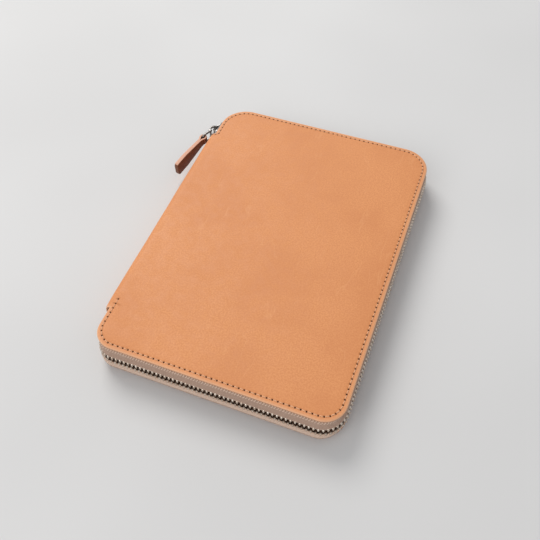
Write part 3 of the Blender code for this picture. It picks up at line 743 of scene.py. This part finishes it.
def make_cover(name, back):
    count = len(FLAT)
    outer = leather_place(FLAT, FLAT_HEIGHT)
    inner = leather_place(FLAT, np.full(count, -LEATHER))
    inner_rim = smoothstep(0.5, 0.0, FLAT_EDGE)[:, None]
    verts = [outer, inner + (outer - inner) * 0.12 * inner_rim]
    faces = [tuple(face) for face in FLAT_FACES]
    faces += [tuple(i + count for i in reversed(face)) for face in FLAT_FACES]
    materials = [0] * len(FLAT_FACES) * 2
    sides = boundary_of(FLAT_FACES)
    ring = sorted({a for side in sides for a in side})
    number = {vertex: index for index, vertex in enumerate(ring)}
    middle = FLAT[ring].mean(axis=0)
    levels = (0.18, 0.5, 0.82)
    butt = np.abs(FLAT[ring][:, 0] - FLAT_END) < 0.01
    away = FLAT[ring] - middle
    away /= np.linalg.norm(away, axis=1)[:, None]
    for level, swell in zip(levels, (0.04, 0.07, 0.04)):
        wall = outer[ring] * (1 - level) + verts[1][ring] * level
        wall[:, :2] += away * (swell * ~butt)[:, None]
        verts.append(wall)
    rows = [lambda i: i] + [lambda i, k=k: 2 * count + k * len(ring) + number[i]
                            for k in range(len(levels))] + [lambda i: i + count]
    for a, b in sides:
        for upper, lower in zip(rows, rows[1:]):
            faces.append((upper(b), upper(a), lower(a), lower(b)))
            materials.append(1)
    verts = np.concatenate(verts)
    if back:
        verts = mirrored(verts)
    item = new_object(name, verts, faces, [HIDE, CUT], flip=back)
    paint(item, materials)
    flat = np.concatenate([FLAT, FLAT] + [FLAT[ring]] * len(levels))
    add_uv(item, flat)
    edge = np.concatenate([FLAT_EDGE, FLAT_EDGE] + [FLAT_EDGE[ring]] * len(levels))
    no_hole = np.full(count, NO_HOLE)
    hole = np.concatenate([FLAT_HOLE, no_hole] + [FLAT_HOLE[ring]] * len(levels))
    sharpen(item, 62)
    # rim: weight of the painted highlight along the cut edge
    add_value(item, "rim", np.exp(-edge / 0.7))
    # hole: weight of the painted shade in the needle holes
    add_value(item, "hole", 1 - smoothstep(0.38, HOLE_RADIUS + 0.12, hole))
    return item


def fold_blend(item, back):
    """Leather that leaves a cover and wraps the spine. Only its transform is baked; the ends of the
    fold's blend are worked out but not applied.
    """
    ends = np.array([FOLD_BLEND_START, FOLD_BLEND_END])
    start, end = mirrored(ends) if back else ends
    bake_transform(item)


def stitched(name, lines, surface, flip=False, mirror=False, sides=7):
    """Short stitches along lines of needle holes, each diving in beside its holes."""
    rings_of, faces, uv = [], [], []
    count = 0
    for holes in lines:
        for index, (start, end) in enumerate(zip(holes, holes[1:])):
            run = end - start
            length = np.linalg.norm(run)
            along = run / length
            side = np.array([-along[1], along[0]])
            for share, height in STITCH_RISE:
                centre = start + run * share + side * 0.32 * (0.5 - share)
                radius = THREAD_RADIUS * (1.0 if 0.2 < share < 0.8 else 0.8)
                angles = 2 * math.pi * np.arange(sides) / sides
                ring_flat = centre + np.outer(np.cos(angles) * radius * 1.15, side)
                ring_height = height - THREAD_RADIUS + radius * np.sin(angles)
                uv += [(index * STITCH + share * length, angle) for angle in angles]
                rings_of.append(surface(ring_flat, ring_height))
            faces += tube_faces(len(STITCH_RISE), sides, count)
            count += len(STITCH_RISE) * sides
    verts = np.concatenate(rings_of)
    if mirror:
        verts = mirrored(verts)
    item = new_object(name, verts, faces, THREAD, flip=flip)
    add_uv(item, uv)
    return item


def make_covers():
    for half, back in (("front", False), ("back", True)):
        cover = make_cover(half + "_cover_hide", back)
        if back:
            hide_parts("back_leather")
        else:
            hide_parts("front_leather", "spine_leather")
        seam = stitched(half + "_cover_seam", [HOLES], leather_place, back, back)
        fold_blend(cover, back)
        fold_blend(seam, back)


# Zip -----------------------------------------------------------------------------

def by_side(values, points, normals):
    """A value for each station of the zip, from the ways that its normal faces."""
    across, along = normals[:, 0], normals[:, 1]
    left = np.where(points[:, 1] > 0, values["head"], values["tail"])
    return (np.maximum(-across, 0) ** 2 * left
            + np.maximum(across, 0) ** 2 * values["right"]
            + np.maximum(along, 0) ** 2 * values["top"]
            + np.maximum(-along, 0) ** 2 * values["bottom"])


def zip_line(spacing):
    """Stations on the cut edge: places, outward normals and lengths from the start."""
    points = resample(edge_path(), spacing)
    return points, outward(points), lengths_of(points)


def tape_section(out, bulge, sink):
    """Middle line of the upper tape in (outward, height), from under the leather down."""
    start, end = -0.55, out - 0.05
    line = [(-4.4, 20.12), (-2.4, 20.12), (-0.9, 20.1)]
    curve = ((0.22, 19.75, 0.2, 0.3), (0.42, 19.2, 0.5, 0.8), (0.60, 18.4, 0.8, 1.0),
             (0.74, 17.4, 1.0, 1.0), (0.85, 16.4, 1.0, 0.8), (0.93, 15.4, 0.95, 0.4),
             (0.99, 14.5, 0.75, 0.1), (1.0, 13.7, 0.35, 0.0))
    for share, z, swell, dip in curve:
        line.append((start + (end - start) * share + max(bulge - end, 0) * swell
                     - sink * dip, z))
    return np.array(line)


def tape_ring(point, normal, out, bulge, sink, upper, station):
    """Closed section of the tape at one station, with its UVs and the weight of the painted
    highlight along its cord.
    """
    line = tape_section(out, bulge, sink)
    across = lengths_of(line)
    side = outward(line)
    half = np.full(len(line), 0.27)
    half[-1], half[-2] = 0.62, 0.42
    outer, inner = line + side * half[:, None], line - side * half[:, None]
    tip = line[-1] + np.array([0.0, -0.42])
    section = np.concatenate([outer, [tip], inner[::-1]])
    uv_across = np.concatenate([across, [across[-1] + 0.4], across[::-1] + 9.0])
    ring = []
    for depth, height in section:
        z = height if upper else THICK - height
        ring.append((point[0] + normal[0] * depth, point[1] + normal[1] * depth, z))
    uv = [(station, value) for value in uv_across]
    reach = 14.4 if upper else 16.4
    cord = [1 - float(smoothstep(reach - 1.2, reach, height)) for _, height in section]
    return ring, uv, cord


def split_index(points):
    """Station half-way down the right-hand side, where the two halves of the zip meet."""
    right = np.where(points[:, 0] > RIGHT - 3)[0]
    return right[np.argmin(np.abs(points[right, 1]))]


def zip_blend(item):
    """Bakes the piece's transform. It is not made to follow its cover or turn to the spine."""
    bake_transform(item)


def place_zip_piece(item, half, kind, part):
    """Stands for its CAD nodes. The head piece stands for the main stretch too."""
    nodes = [f"{half}_{kind}_{part}"] + ([f"{half}_{kind}"] if part == "head" else [])
    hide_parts(*nodes)
    zip_blend(item)


def make_tapes():
    points, normals, where = zip_line(1.1)
    middle = split_index(points)
    outs = by_side(TEETH_OUT, points, normals)
    sinks = by_side(TAPE_SINK, points, normals)
    inside = (where > TAPE_START) & (where < where[-1] - TAPE_START)
    for upper in (True, False):
        bulges = outs if upper else by_side(LOW_BULGE, points, normals)
        half = "upper" if upper else "lower"
        for part, picked in (("head", range(0, middle + 1)),
                             ("tail", range(middle, len(points)))):
            rings, uvs, cords = [], [], []
            for index in picked:
                if not inside[index]:
                    continue
                ring, uv, cord = tape_ring(points[index], normals[index], outs[index],
                                           bulges[index], sinks[index], upper, where[index])
                rings.append(ring)
                uvs += uv
                cords += cord
            item = swept(f"{half}_tape_{part}_woven", rings, TAPE, flip=not upper)
            recalculated(item)
            add_uv(item, uvs)
            # cord: weight of the painted highlight along the tape's cord
            add_value(item, "cord", cords)
            place_zip_piece(item, half, "tape", part)


# Height from the zip's middle, half the size along the zip and half the size outwards
TOOTH_RINGS = ((3.15, 0.34, 0.80), (2.92, 0.58, 1.20), (2.35, 0.68, 1.42), (1.6, 0.66, 1.38),
               (1.0, 0.54, 1.18), (0.5, 0.46, 0.98), (0.0, 0.50, 0.84), (-0.5, 0.62, 0.70),
               (-0.88, 0.42, 0.50))
TOOTH_LEAN = 0.10


def tooth_verts(point, normal, upper):
    along = np.array([normal[1], -normal[0]])
    rings = []
    for level, half_along, half_out in TOOTH_RINGS:
        height = level if upper else -level
        centre = point - normal * TOOTH_LEAN * height
        ring = []
        for a, b in rounded_rectangle(half_along, half_out, min(half_along, half_out) * 0.62, 1):
            x, y = centre + along * a + normal * b
            ring.append((x, y, MID + height))
        rings.append(ring)
    return np.array(rings)


def make_teeth():
    points, normals, _ = zip_line(0.4)
    points = points + normals * by_side(TEETH_OUT, points, normals)[:, None]
    where = lengths_of(points)
    first, last = TEETH_START, where[-1] - TEETH_START
    middle = where[split_index(points)]
    levels = np.array([ring[0] for ring in TOOTH_RINGS])
    corners = len(tooth_verts(points[0], normals[0], True)[0])
    # Painted shade weight: 1 on the part of each tooth near the zip's middle, where the rows
    # interlock, and 0 from its root up.
    recess_shade = np.repeat(1 - smoothstep(0.2, 1.2, levels), corners)
    for upper in (True, False):
        half = "upper" if upper else "lower"
        spots = np.arange(first + (0.0 if upper else PITCH / 2), last, PITCH)
        for part in ("head", "tail"):
            chosen = [w for w in spots if (w <= middle) == (part == "head")]
            verts, faces = [], []
            for spot in chosen:
                point = at_lengths(points, [spot])[0]
                normal = np.array([np.interp(spot, where, normals[:, k]) for k in (0, 1)])
                normal /= np.linalg.norm(normal)
                rings = tooth_verts(point, normal, upper)
                stations, count = rings.shape[:2]
                faces += tube_faces(stations, count, len(verts) * stations * count)
                verts.append(rings.reshape(-1, 3))
            item = new_object(f"{half}_teeth_{part}_metal", np.concatenate(verts), faces, TOOTH)
            recalculated(item)
            add_value(item, "recess_shade", np.tile(recess_shade, len(chosen)))
            place_zip_piece(item, half, "teeth", part)


def make_stops():
    for name in ("top_stop_upper", "top_stop_lower", "bottom_stop"):
        low, high = node_box(name)
        middle, half = (low + high) / 2, (high - low) / 2
        outline = rounded_rectangle(half.x, half.y, 0.55, 3)
        place = Matrix.Translation(middle)
        item = prism(name + "_metal", outline, -half.z, half.z, place, TOOTH)
        bevelled(item, 0.3)
        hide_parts(name)
        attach(item, "spine")


# Slider and pull -----------------------------------------------------------------

def loop_sweep(name, path, half_width, half_depth, radius, up, materials):
    """Rounded bar bent along a closed path of 3-D points."""
    path = np.array(path, float)
    along = np.roll(path, -1, axis=0) - np.roll(path, 1, axis=0)
    along /= np.linalg.norm(along, axis=1)[:, None]
    rings = []
    for point, direction in zip(path, along):
        side = np.cross(direction, up)
        side /= np.linalg.norm(side)
        rings.append([point + side * a + np.array(up) * b
                      for a, b in rounded_rectangle(half_width, half_depth, radius, 2)])
    return recalculated(swept(name, rings, materials, closed_path=True))


def joint_spot(name):
    return Vector(next(j for j in frame["joints"] if j["name"] == name)["pos_m"]) / MM


SLIDER_DEPTH = 7.1          # from the outer plate's outer face to the inner plate's far face
BRIDGE_RADIUS = 1.95


def make_slider():
    pivot = joint_spot("link_pivot")
    middle_y = (SLIDER_LOW.y + SLIDER_HIGH.y) / 2
    face = SLIDER_HIGH.x - SLIDER_DEPTH
    outline = [(6.6, 1.2), (6.2, 3.4), (4.9, 4.8), (2.4, 5.0), (0.6, 4.4), (-1.8, 3.9),
               (-4.6, 3.75), (-5.5, 3.0)]
    outline += [(a, -b) for a, b in reversed(outline)]
    to_case = Matrix(((0, 0, 1), (-1, 0, 0), (0, 1, 0))).to_4x4()
    plates = []
    for label, x, thick in (("outer", face, 1.25), ("inner", face + 5.9, 1.2)):
        place = Matrix.Translation((x, middle_y, MID)) @ to_case
        plate = prism("slider_" + label, outline, 0.0, thick, place, NICKEL)
        plates.append(bevelled(plate, 0.42, 3))
    for sign in (1, -1):
        rail = [(4.6, 4.2), (4.6, 5.0), (2.4, 5.05), (0.6, 4.45), (-4.9, 3.8), (-4.9, 3.1),
                (0.4, 3.75), (2.2, 4.3)]
        rail = [(a, sign * b) for a, b in rail]
        for x, thick in ((face + 1.0, 0.95), (face + 5.2, 0.9)):
            place = Matrix.Translation((x, middle_y, MID)) @ to_case
            part = prism("slider_rail", rail, 0.0, thick, place, NICKEL)
            plates.append(bevelled(part, 0.2, 2))
    web = [(4.6, 0.0), (3.6, 0.42), (1.6, 0.36), (1.0, 0.0), (1.6, -0.36), (3.6, -0.42)]
    place = Matrix.Translation((face + 0.6, middle_y, MID)) @ to_case
    plates.append(prism("slider_web", web, 0.0, 5.9, place, NICKEL))
    arch = []
    for step in range(25):
        angle = math.pi * (0.5 + step / 24)
        arch.append((pivot.x - 0.05 + BRIDGE_RADIUS * math.cos(angle),
                     pivot.y + BRIDGE_RADIUS * math.sin(angle) * 1.35, MID))
    foot = face + 0.6
    arch = ([(foot, pivot.y + 6.0, MID), (foot - 1.2, pivot.y + 5.3, MID)] + arch
            + [(foot - 0.7, pivot.y - 3.5, MID), (foot, pivot.y - 3.9, MID)])
    arch = resample(np.array(arch), 0.3)
    rings = []
    for index, (point, direction) in enumerate(zip(arch, directions(arch))):
        side = np.cross(direction, (0, 0, 1))
        flare = 1.0 + 0.75 * abs(2 * index / (len(arch) - 1) - 1) ** 4
        rings.append([point + side * a + np.array((0, 0, 1)) * b
                      for a, b in rounded_rectangle(0.48, 1.8 * flare, 0.3, 2)])
    plates.append(recalculated(swept("slider_bridge", rings, NICKEL)))
    slider = joined("slider_metal", plates)
    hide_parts("slider_body")
    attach(slider, "slider")


def pull_frame(spot, angle):
    """Axes of a pull part: along it, up and across, at an angle out from the spine."""
    direction = Vector((-math.sin(angle), -math.cos(angle), 0.0))
    up = Vector((0, 0, 1))
    matrix = Matrix((direction, up, direction.cross(up))).transposed().to_4x4()
    return Matrix.Translation(spot) @ matrix


LINK_KNOB = 0.46            # where along the link its knobs and cross bar are
LINK_CROWN = 2.0            # how far the link's near half arches out
LINK_HALF_WIDTH = 3.25
LINK_CORNER = 1.5


def make_link():
    start, end = joint_spot("link_pivot"), joint_spot("tab_pivot")
    run = end - start
    angle = math.atan2(-run.x, -run.y)
    place = pull_frame(start, angle)
    pitch = run.length
    half = LINK_HALF_WIDTH
    corners = [(pitch / 2, -half, 0), (0.0, -half, LINK_CORNER), (0.0, half, LINK_CORNER),
               (pitch, half, LINK_CORNER), (pitch, -half, LINK_CORNER), (pitch / 2, -half, 0)]
    line = resample(rounded(corners), 0.45)[:-1]
    crown = pitch * LINK_KNOB
    path = [place @ Vector((a, b, LINK_CROWN * math.sin(math.pi * min(max(a, 0), crown) / crown)))
            for a, b in line]
    across = place.to_3x3() @ Vector((0, 0, 1))
    ring = loop_sweep("link_ring", [tuple(p) for p in path], 0.78, 0.7, 0.42,
                      np.array(across), NICKEL)
    pieces = [ring]
    for sign in (1, -1):
        lump = rounded_rectangle(1.15, 1.0, 0.85, 4)
        spot = place @ Matrix.Translation((pitch * LINK_KNOB, sign * half, -0.95))
        knob = prism("link_knob", lump, 0.0, 1.9, spot, NICKEL)
        pieces.append(bevelled(knob, 0.45, 3))
    bar = prism("link_bar", rounded_rectangle(0.62, half, 0.25, 2), -0.55, 0.55,
                place @ Matrix.Translation((pitch * LINK_KNOB, 0, 0)), NICKEL)
    pieces.append(bevelled(bar, 0.3, 2))
    link = joined("pull_link_metal", pieces)
    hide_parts("pull_link")
    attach(link, "link")


def strip_section(half, height):
    """Section of a strip whose outer corners are worn round and inner ones are not."""
    worn = [(-half + 0.30, height), (-half + 0.09, height - 0.09), (-half, height - 0.30)]
    return [(half, height)] + worn + [(m, -n) for m, n in reversed(worn)] + [(half, -height)]


TAB_LENGTH = 34.0
TAB_LAYER = 1.38            # one of the two layers of the folded strip
TAB_ANGLE = 8.5             # degrees out from the spine's direction
TAB_NECK_HALF, TAB_END_HALF = 2.3, 4.95
TAB_TAPER = 22.0            # length over which the tab widens
TAB_CORNER = 1.7


def make_tab():
    """One strip of leather folded round the link's bar and glued to itself."""
    length, layer, corner = TAB_LENGTH, TAB_LAYER, TAB_CORNER
    place = pull_frame(joint_spot("tab_pivot"), math.radians(TAB_ANGLE))
    radius = 1.35 + layer / 2
    line = [(length, layer / 2 + 0.004)]
    line += [(a, layer / 2 + 0.004) for a in np.linspace(length - 0.2, 5.2, 22)]
    line += [(3.9, layer / 2 + 0.12), (2.6, 1.1), (1.4, radius * 0.86)]
    line += [(radius * math.cos(t), radius * math.sin(t))
             for t in np.linspace(math.pi * 0.42, math.pi * 1.58, 15)]
    line += [(1.4, -radius * 0.86), (2.6, -1.1), (3.9, -layer / 2 - 0.12)]
    line += [(a, -layer / 2 - 0.004) for a in np.linspace(5.2, length - 0.2, 22)]
    line += [(length, -layer / 2 - 0.004)]
    line = resample(np.array(line), 0.42)
    rings = []
    for point, direction in zip(line, directions(line)):
        a = point[0]
        widening = min(max((a - 1.0) / TAB_TAPER, 0.0), 1.0) ** 0.85
        half_height = TAB_NECK_HALF + (TAB_END_HALF - TAB_NECK_HALF) * widening
        left_over = max(corner - (length - a), 0.0)
        half_height -= corner - math.sqrt(max(corner ** 2 - left_over ** 2, 0.0))
        side = np.array([-direction[1], direction[0]])
        thick = layer / 2 * (1 - 0.1 * float(smoothstep(4.0, 1.0, a)))
        ring = []
        for m, n in strip_section(thick, half_height):
            spot = point + side * m
            ring.append(tuple(place @ Vector((spot[0], n, -spot[1]))))
        rings.append(ring)
    # The tab's faces take the dark brown painted shade of its leather.
    tab = recalculated(swept("pull_tab_hide", rings, [TAB_HIDE_SHADED, CUT_PALE]))
    paint(tab, [int(abs(polygon.normal.z) > 0.6) for polygon in tab.data.polygons])
    sharpen(tab, 60)
    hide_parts("pull_tab")
    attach(tab, "tab")


# Inside --------------------------------------------------------------------------

def dress(names, material):
    """Give CAD nodes whose shape is right their material."""
    for name in names:
        item = frame["nodes"][name]
        item.data.materials.clear()
        item.data.materials.append(material)


def outline_of(name, axis):
    """Outline of a CAD plate's face across an axis, anticlockwise, in millimetres."""
    mesh = frame["nodes"][name].data
    level = max(corner[axis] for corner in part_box(name)) - 0.02 * MM
    merged = {}
    number = [merged.setdefault(tuple(round(c, 6) for c in vertex.co), vertex.index)
              for vertex in mesh.vertices]
    faces = [[number[index] for index in polygon.vertices] for polygon in mesh.polygons
             if polygon.normal[axis] > 0.95 and polygon.center[axis] > level]
    following = dict(boundary_of(faces))
    first = next(iter(following))
    chain = [first]
    while following[chain[-1]] != first:
        chain.append(following[chain[-1]])
    picked = [mesh.vertices[index].co for index in chain]
    return np.array([(p[(axis + 1) % 3], p[(axis + 2) % 3]) for p in picked]) / MM


def inset_line(outline, inset, spacing):
    """Points beside a closed anticlockwise outline, on its inner side."""
    closed = resample(np.vstack([outline, outline[:1]]), 0.3)
    beside = closed + outward(closed) * inset
    beside = beside[nearest(beside, closed) > inset - 0.06]
    return resample(np.vstack([beside, beside[:1]]), spacing)


def panel_place(axis):
    """Takes flat points and heights along an axis to places."""
    def place(flat, height):
        columns = [None, None, None]
        columns[axis] = np.asarray(height, float)
        columns[(axis + 1) % 3], columns[(axis + 2) % 3] = flat[:, 0], flat[:, 1]
        return np.stack(columns, axis=1)
    return place


def make_panel(node, body, materials, axis=2, seams=(1,), inset=2.4, wave=0.0):
    """A soft plate for a CAD one: rolled rims, a seam sunk into it and a little slack."""
    low, high = (corner[axis] for corner in node_box(node))
    thick = high - low
    outline = outline_of(node, axis)
    rim = resample(np.vstack([outline, outline[:1]]), 1.5)[:-1]
    cut = resample(np.vstack([outline, outline[:1]]), 0.3)
    seam = inset_line(outline, inset, 0.8) if seams else cut
    rows = [inset_line(outline, step, 1.2) for step in (0.12, 0.3, 0.7)]
    if seams:
        rows += [seam, inset_line(outline, inset - 0.5, 1.1), inset_line(outline, inset + 0.5, 1.1)]
    corner, far = outline.min(axis=0), outline.max(axis=0)
    grid = np.stack(np.meshgrid(np.arange(corner[0] + 1, far[0], 3.4),
                                np.arange(corner[1] + 1, far[1], 3.4)), axis=-1).reshape(-1, 2)
    rows.append(grid[nearest(grid, cut) > (inset + 1.2 if seams else 1.4)])
    flat, faces = triangulated(rim, thinned(np.concatenate(rows), rim, 0.1))
    edge, sewn = nearest(flat, cut), nearest(flat, seam)
    roll = thick * 0.45
    round_off = roll - np.sqrt(roll ** 2 - (roll - np.clip(edge, 0, roll)) ** 2)
    groove = 0.10 * np.exp(-(sewn / 0.5) ** 2)
    slack = wave * smoothstep(4, 20, edge) * (
        0.5 + 0.5 * np.sin(flat[:, 0] * 0.09 + 1.0) * np.sin(flat[:, 1] * 0.055 + 0.5))
    top = high - round_off - (groove if 1 in seams else 0) + slack
    bottom = low + round_off + (groove if -1 in seams else 0) + slack
    place, count = panel_place(axis), len(flat)
    verts = np.concatenate([place(flat, top), place(flat, bottom)])
    all_faces = faces + [tuple(i + count for i in reversed(face)) for face in faces]
    kinds = [0] * len(all_faces)
    for a, b in boundary_of(faces):
        all_faces.append((b, a, a + count, b + count))
        kinds.append(len(materials) - 1)
    item = new_object(node + "_soft", verts, all_faces, materials)
    paint(item, kinds)
    add_uv(item, np.concatenate([flat, flat]))
    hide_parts(node)
    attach(item, body)
    for face in seams:
        level = high if face > 0 else low
        holes = inset_line(outline, inset, STITCH)
        lift = wave * 0.1

        def surface(spots, heights, face=face, level=level):
            return place(spots, level + face * (heights + lift))

        thread = stitched(f"{node}_seam_{'in' if face > 0 else 'out'}", [holes], surface,
                          flip=face < 0, sides=6)
        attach(thread, body)


SLEEVE_COUNT = 5
SLEEVE_WALL, SLEEVE_FLANGE, SLEEVE_POWER = 0.9, 2.2, 2.3


def sleeve_section(half, base, rise, thick, squeeze):
    """Closed section of a pen sleeve: foot, arch and foot of one strip of leather."""
    arch = half - SLEEVE_FLANGE - SLEEVE_WALL / 2
    angle = np.linspace(math.radians(7), math.radians(173), 35)
    cos, sin = np.cos(angle), np.sin(angle)
    x = -arch * np.sign(cos) * np.abs(cos) ** (2 / SLEEVE_POWER)
    z = base + rise * squeeze * np.abs(sin) ** (2 / SLEEVE_POWER)
    line = [(-half, base), (-half + 0.9, base), (-arch - 0.55, base + 0.02)]
    line += list(zip(x, z)) + [(-a, b) for a, b in reversed(line)]
    line = np.array(line)
    line = at_lengths(line, np.linspace(0, lengths_of(line)[-1], 66))
    side = outward(line)
    return np.concatenate([line + side * thick / 2, (line - side * thick / 2)[::-1]])


def make_sleeves():
    for number in range(1, SLEEVE_COUNT + 1):
        name = f"pen_sleeve_{number}"
        low, high = node_box(name)
        middle, half = (low.x + high.x) / 2, (high.x - low.x) / 2
        base = low.z + SLEEVE_WALL / 2
        rise = high.z - SLEEVE_WALL / 2 - base
        near_mouth = [0.0, 0.12, 0.35, 1.0, 2.0, 2.5, 3.0, 4.5]
        length = high.y - low.y
        run = near_mouth + np.arange(8, length - 7, 4.0).tolist()
        run += [length - step for step in reversed(near_mouth)]
        rings = []
        for step in run:
            from_mouth = min(step, length - step)
            thick = SLEEVE_WALL * (0.45 + 0.55 * float(smoothstep(0, 0.35, from_mouth)))
            crease = 0.16 * math.exp(-((from_mouth - 2.5) / 0.4) ** 2)
            squeeze = 0.985 - 0.02 * math.sin(step / 15 + number * 1.7) - crease / rise
            section = sleeve_section(half, base, rise, thick, min(squeeze, 0.995))
            rings.append([(middle + a, low.y + step, b) for a, b in section])
        item = swept(name + "_soft", rings, POCKET)
        recalculated(item)
        sharpen(item, 50)
        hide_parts(name)
        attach(item, "back_cover")
        lines = []
        for sign in (1, -1):
            across = middle + sign * (half - SLEEVE_FLANGE / 2)
            ends = np.array([(across, low.y + 2.0), (across, high.y - 2.0)])
            lines.append(resample(ends, STITCH))
        level = low.z + SLEEVE_WALL

        def surface(spots, heights, level=level):
            return np.column_stack([spots, level + heights])

        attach(stitched(name + "_seam", lines, surface, sides=6), "back_cover")


def make_inside():
    make_panel("back_lining", "back_cover", [LINING])
    make_panel("front_lining", "front_cover", [LINING], seams=(-1,))
    make_panel("spine_lining", "spine", [LINING], axis=0)
    make_panel("zip_end_top", "spine", [TAPE], axis=0, seams=())
    make_panel("zip_end_bottom", "spine", [TAPE], axis=0, seams=())
    make_panel("divider_flap", "divider", [FLAP, CUT], seams=(1, -1),
               wave=0.35)
    make_panel("front_pocket", "front_cover", [POCKET, CUT], seams=(-1,))
    make_sleeves()
    dress(["back_board", "front_board"], BOARD)


# Stage ---------------------------------------------------------------------------

def area_light(name, place, aim, size, power, colour):
    data = bpy.data.lights.new(name, "AREA")
    data.shape = "DISK"
    data.size = size
    data.energy = power
    data.color = colour
    lamp = bpy.data.objects.new(name, data)
    lamp.location = place
    lamp.rotation_mode = "QUATERNION"
    lamp.rotation_quaternion = (Vector(aim) - Vector(place)).to_track_quat("-Z", "Y")
    bpy.context.scene.collection.objects.link(lamp)


FLOOR_HALF, FLOOR_Z = 6000.0, -0.4
CAMERA_PLACE = (0.09447, -0.22967, 0.3406)      # metres
CAMERA_RIGHT = (0.93349, 0.35760, -0.02683)
CAMERA_FORWARD = (-0.22645, 0.52983, -0.81731)
CAMERA_LENS = 43.73


def make_stage():
    verts = [(x * FLOOR_HALF, y * FLOOR_HALF, FLOOR_Z)
             for x, y in ((-1, -1), (1, -1), (1, 1), (-1, 1))]
    floor = new_object("floor", verts, [(0, 1, 2, 3)], floor_material(), smooth=False)
    area_light("key", (-0.85, 0.80, 1.25), (0, 0, 0), 1.0, 17.5, (1.0, 0.985, 0.96))
    area_light("fill", (-0.5, -1.5, 1.35), (0, 0, 0), 1.6, 14.0, (1.0, 0.98, 0.96))
    world = bpy.data.worlds.new("studio")
    world.use_nodes = True
    world.node_tree.nodes["Background"].inputs["Color"].default_value = (0.9, 0.92, 0.95, 1)
    world.node_tree.nodes["Background"].inputs["Strength"].default_value = 0.55
    bpy.context.scene.world = world
    bpy.context.scene.view_settings.view_transform = "Standard"


def make_camera():
    data = bpy.data.cameras.new("camera")
    data.sensor_width = 36.0
    data.lens = CAMERA_LENS
    data.clip_start = 0.01
    camera = bpy.data.objects.new("camera", data)
    right = Vector(CAMERA_RIGHT).normalized()
    forward = Vector(CAMERA_FORWARD)
    forward = (forward - right * forward.dot(right)).normalized()
    up = right.cross(forward)
    turn = Matrix((right, up, -forward)).transposed().to_4x4()
    camera.matrix_world = Matrix.Translation(CAMERA_PLACE) @ turn
    bpy.context.scene.collection.objects.link(camera)
    bpy.context.scene.camera = camera


make_camera()
make_covers()
make_tapes()
make_teeth()
make_stops()
make_slider()
make_link()
make_tab()
make_inside()
make_stage()
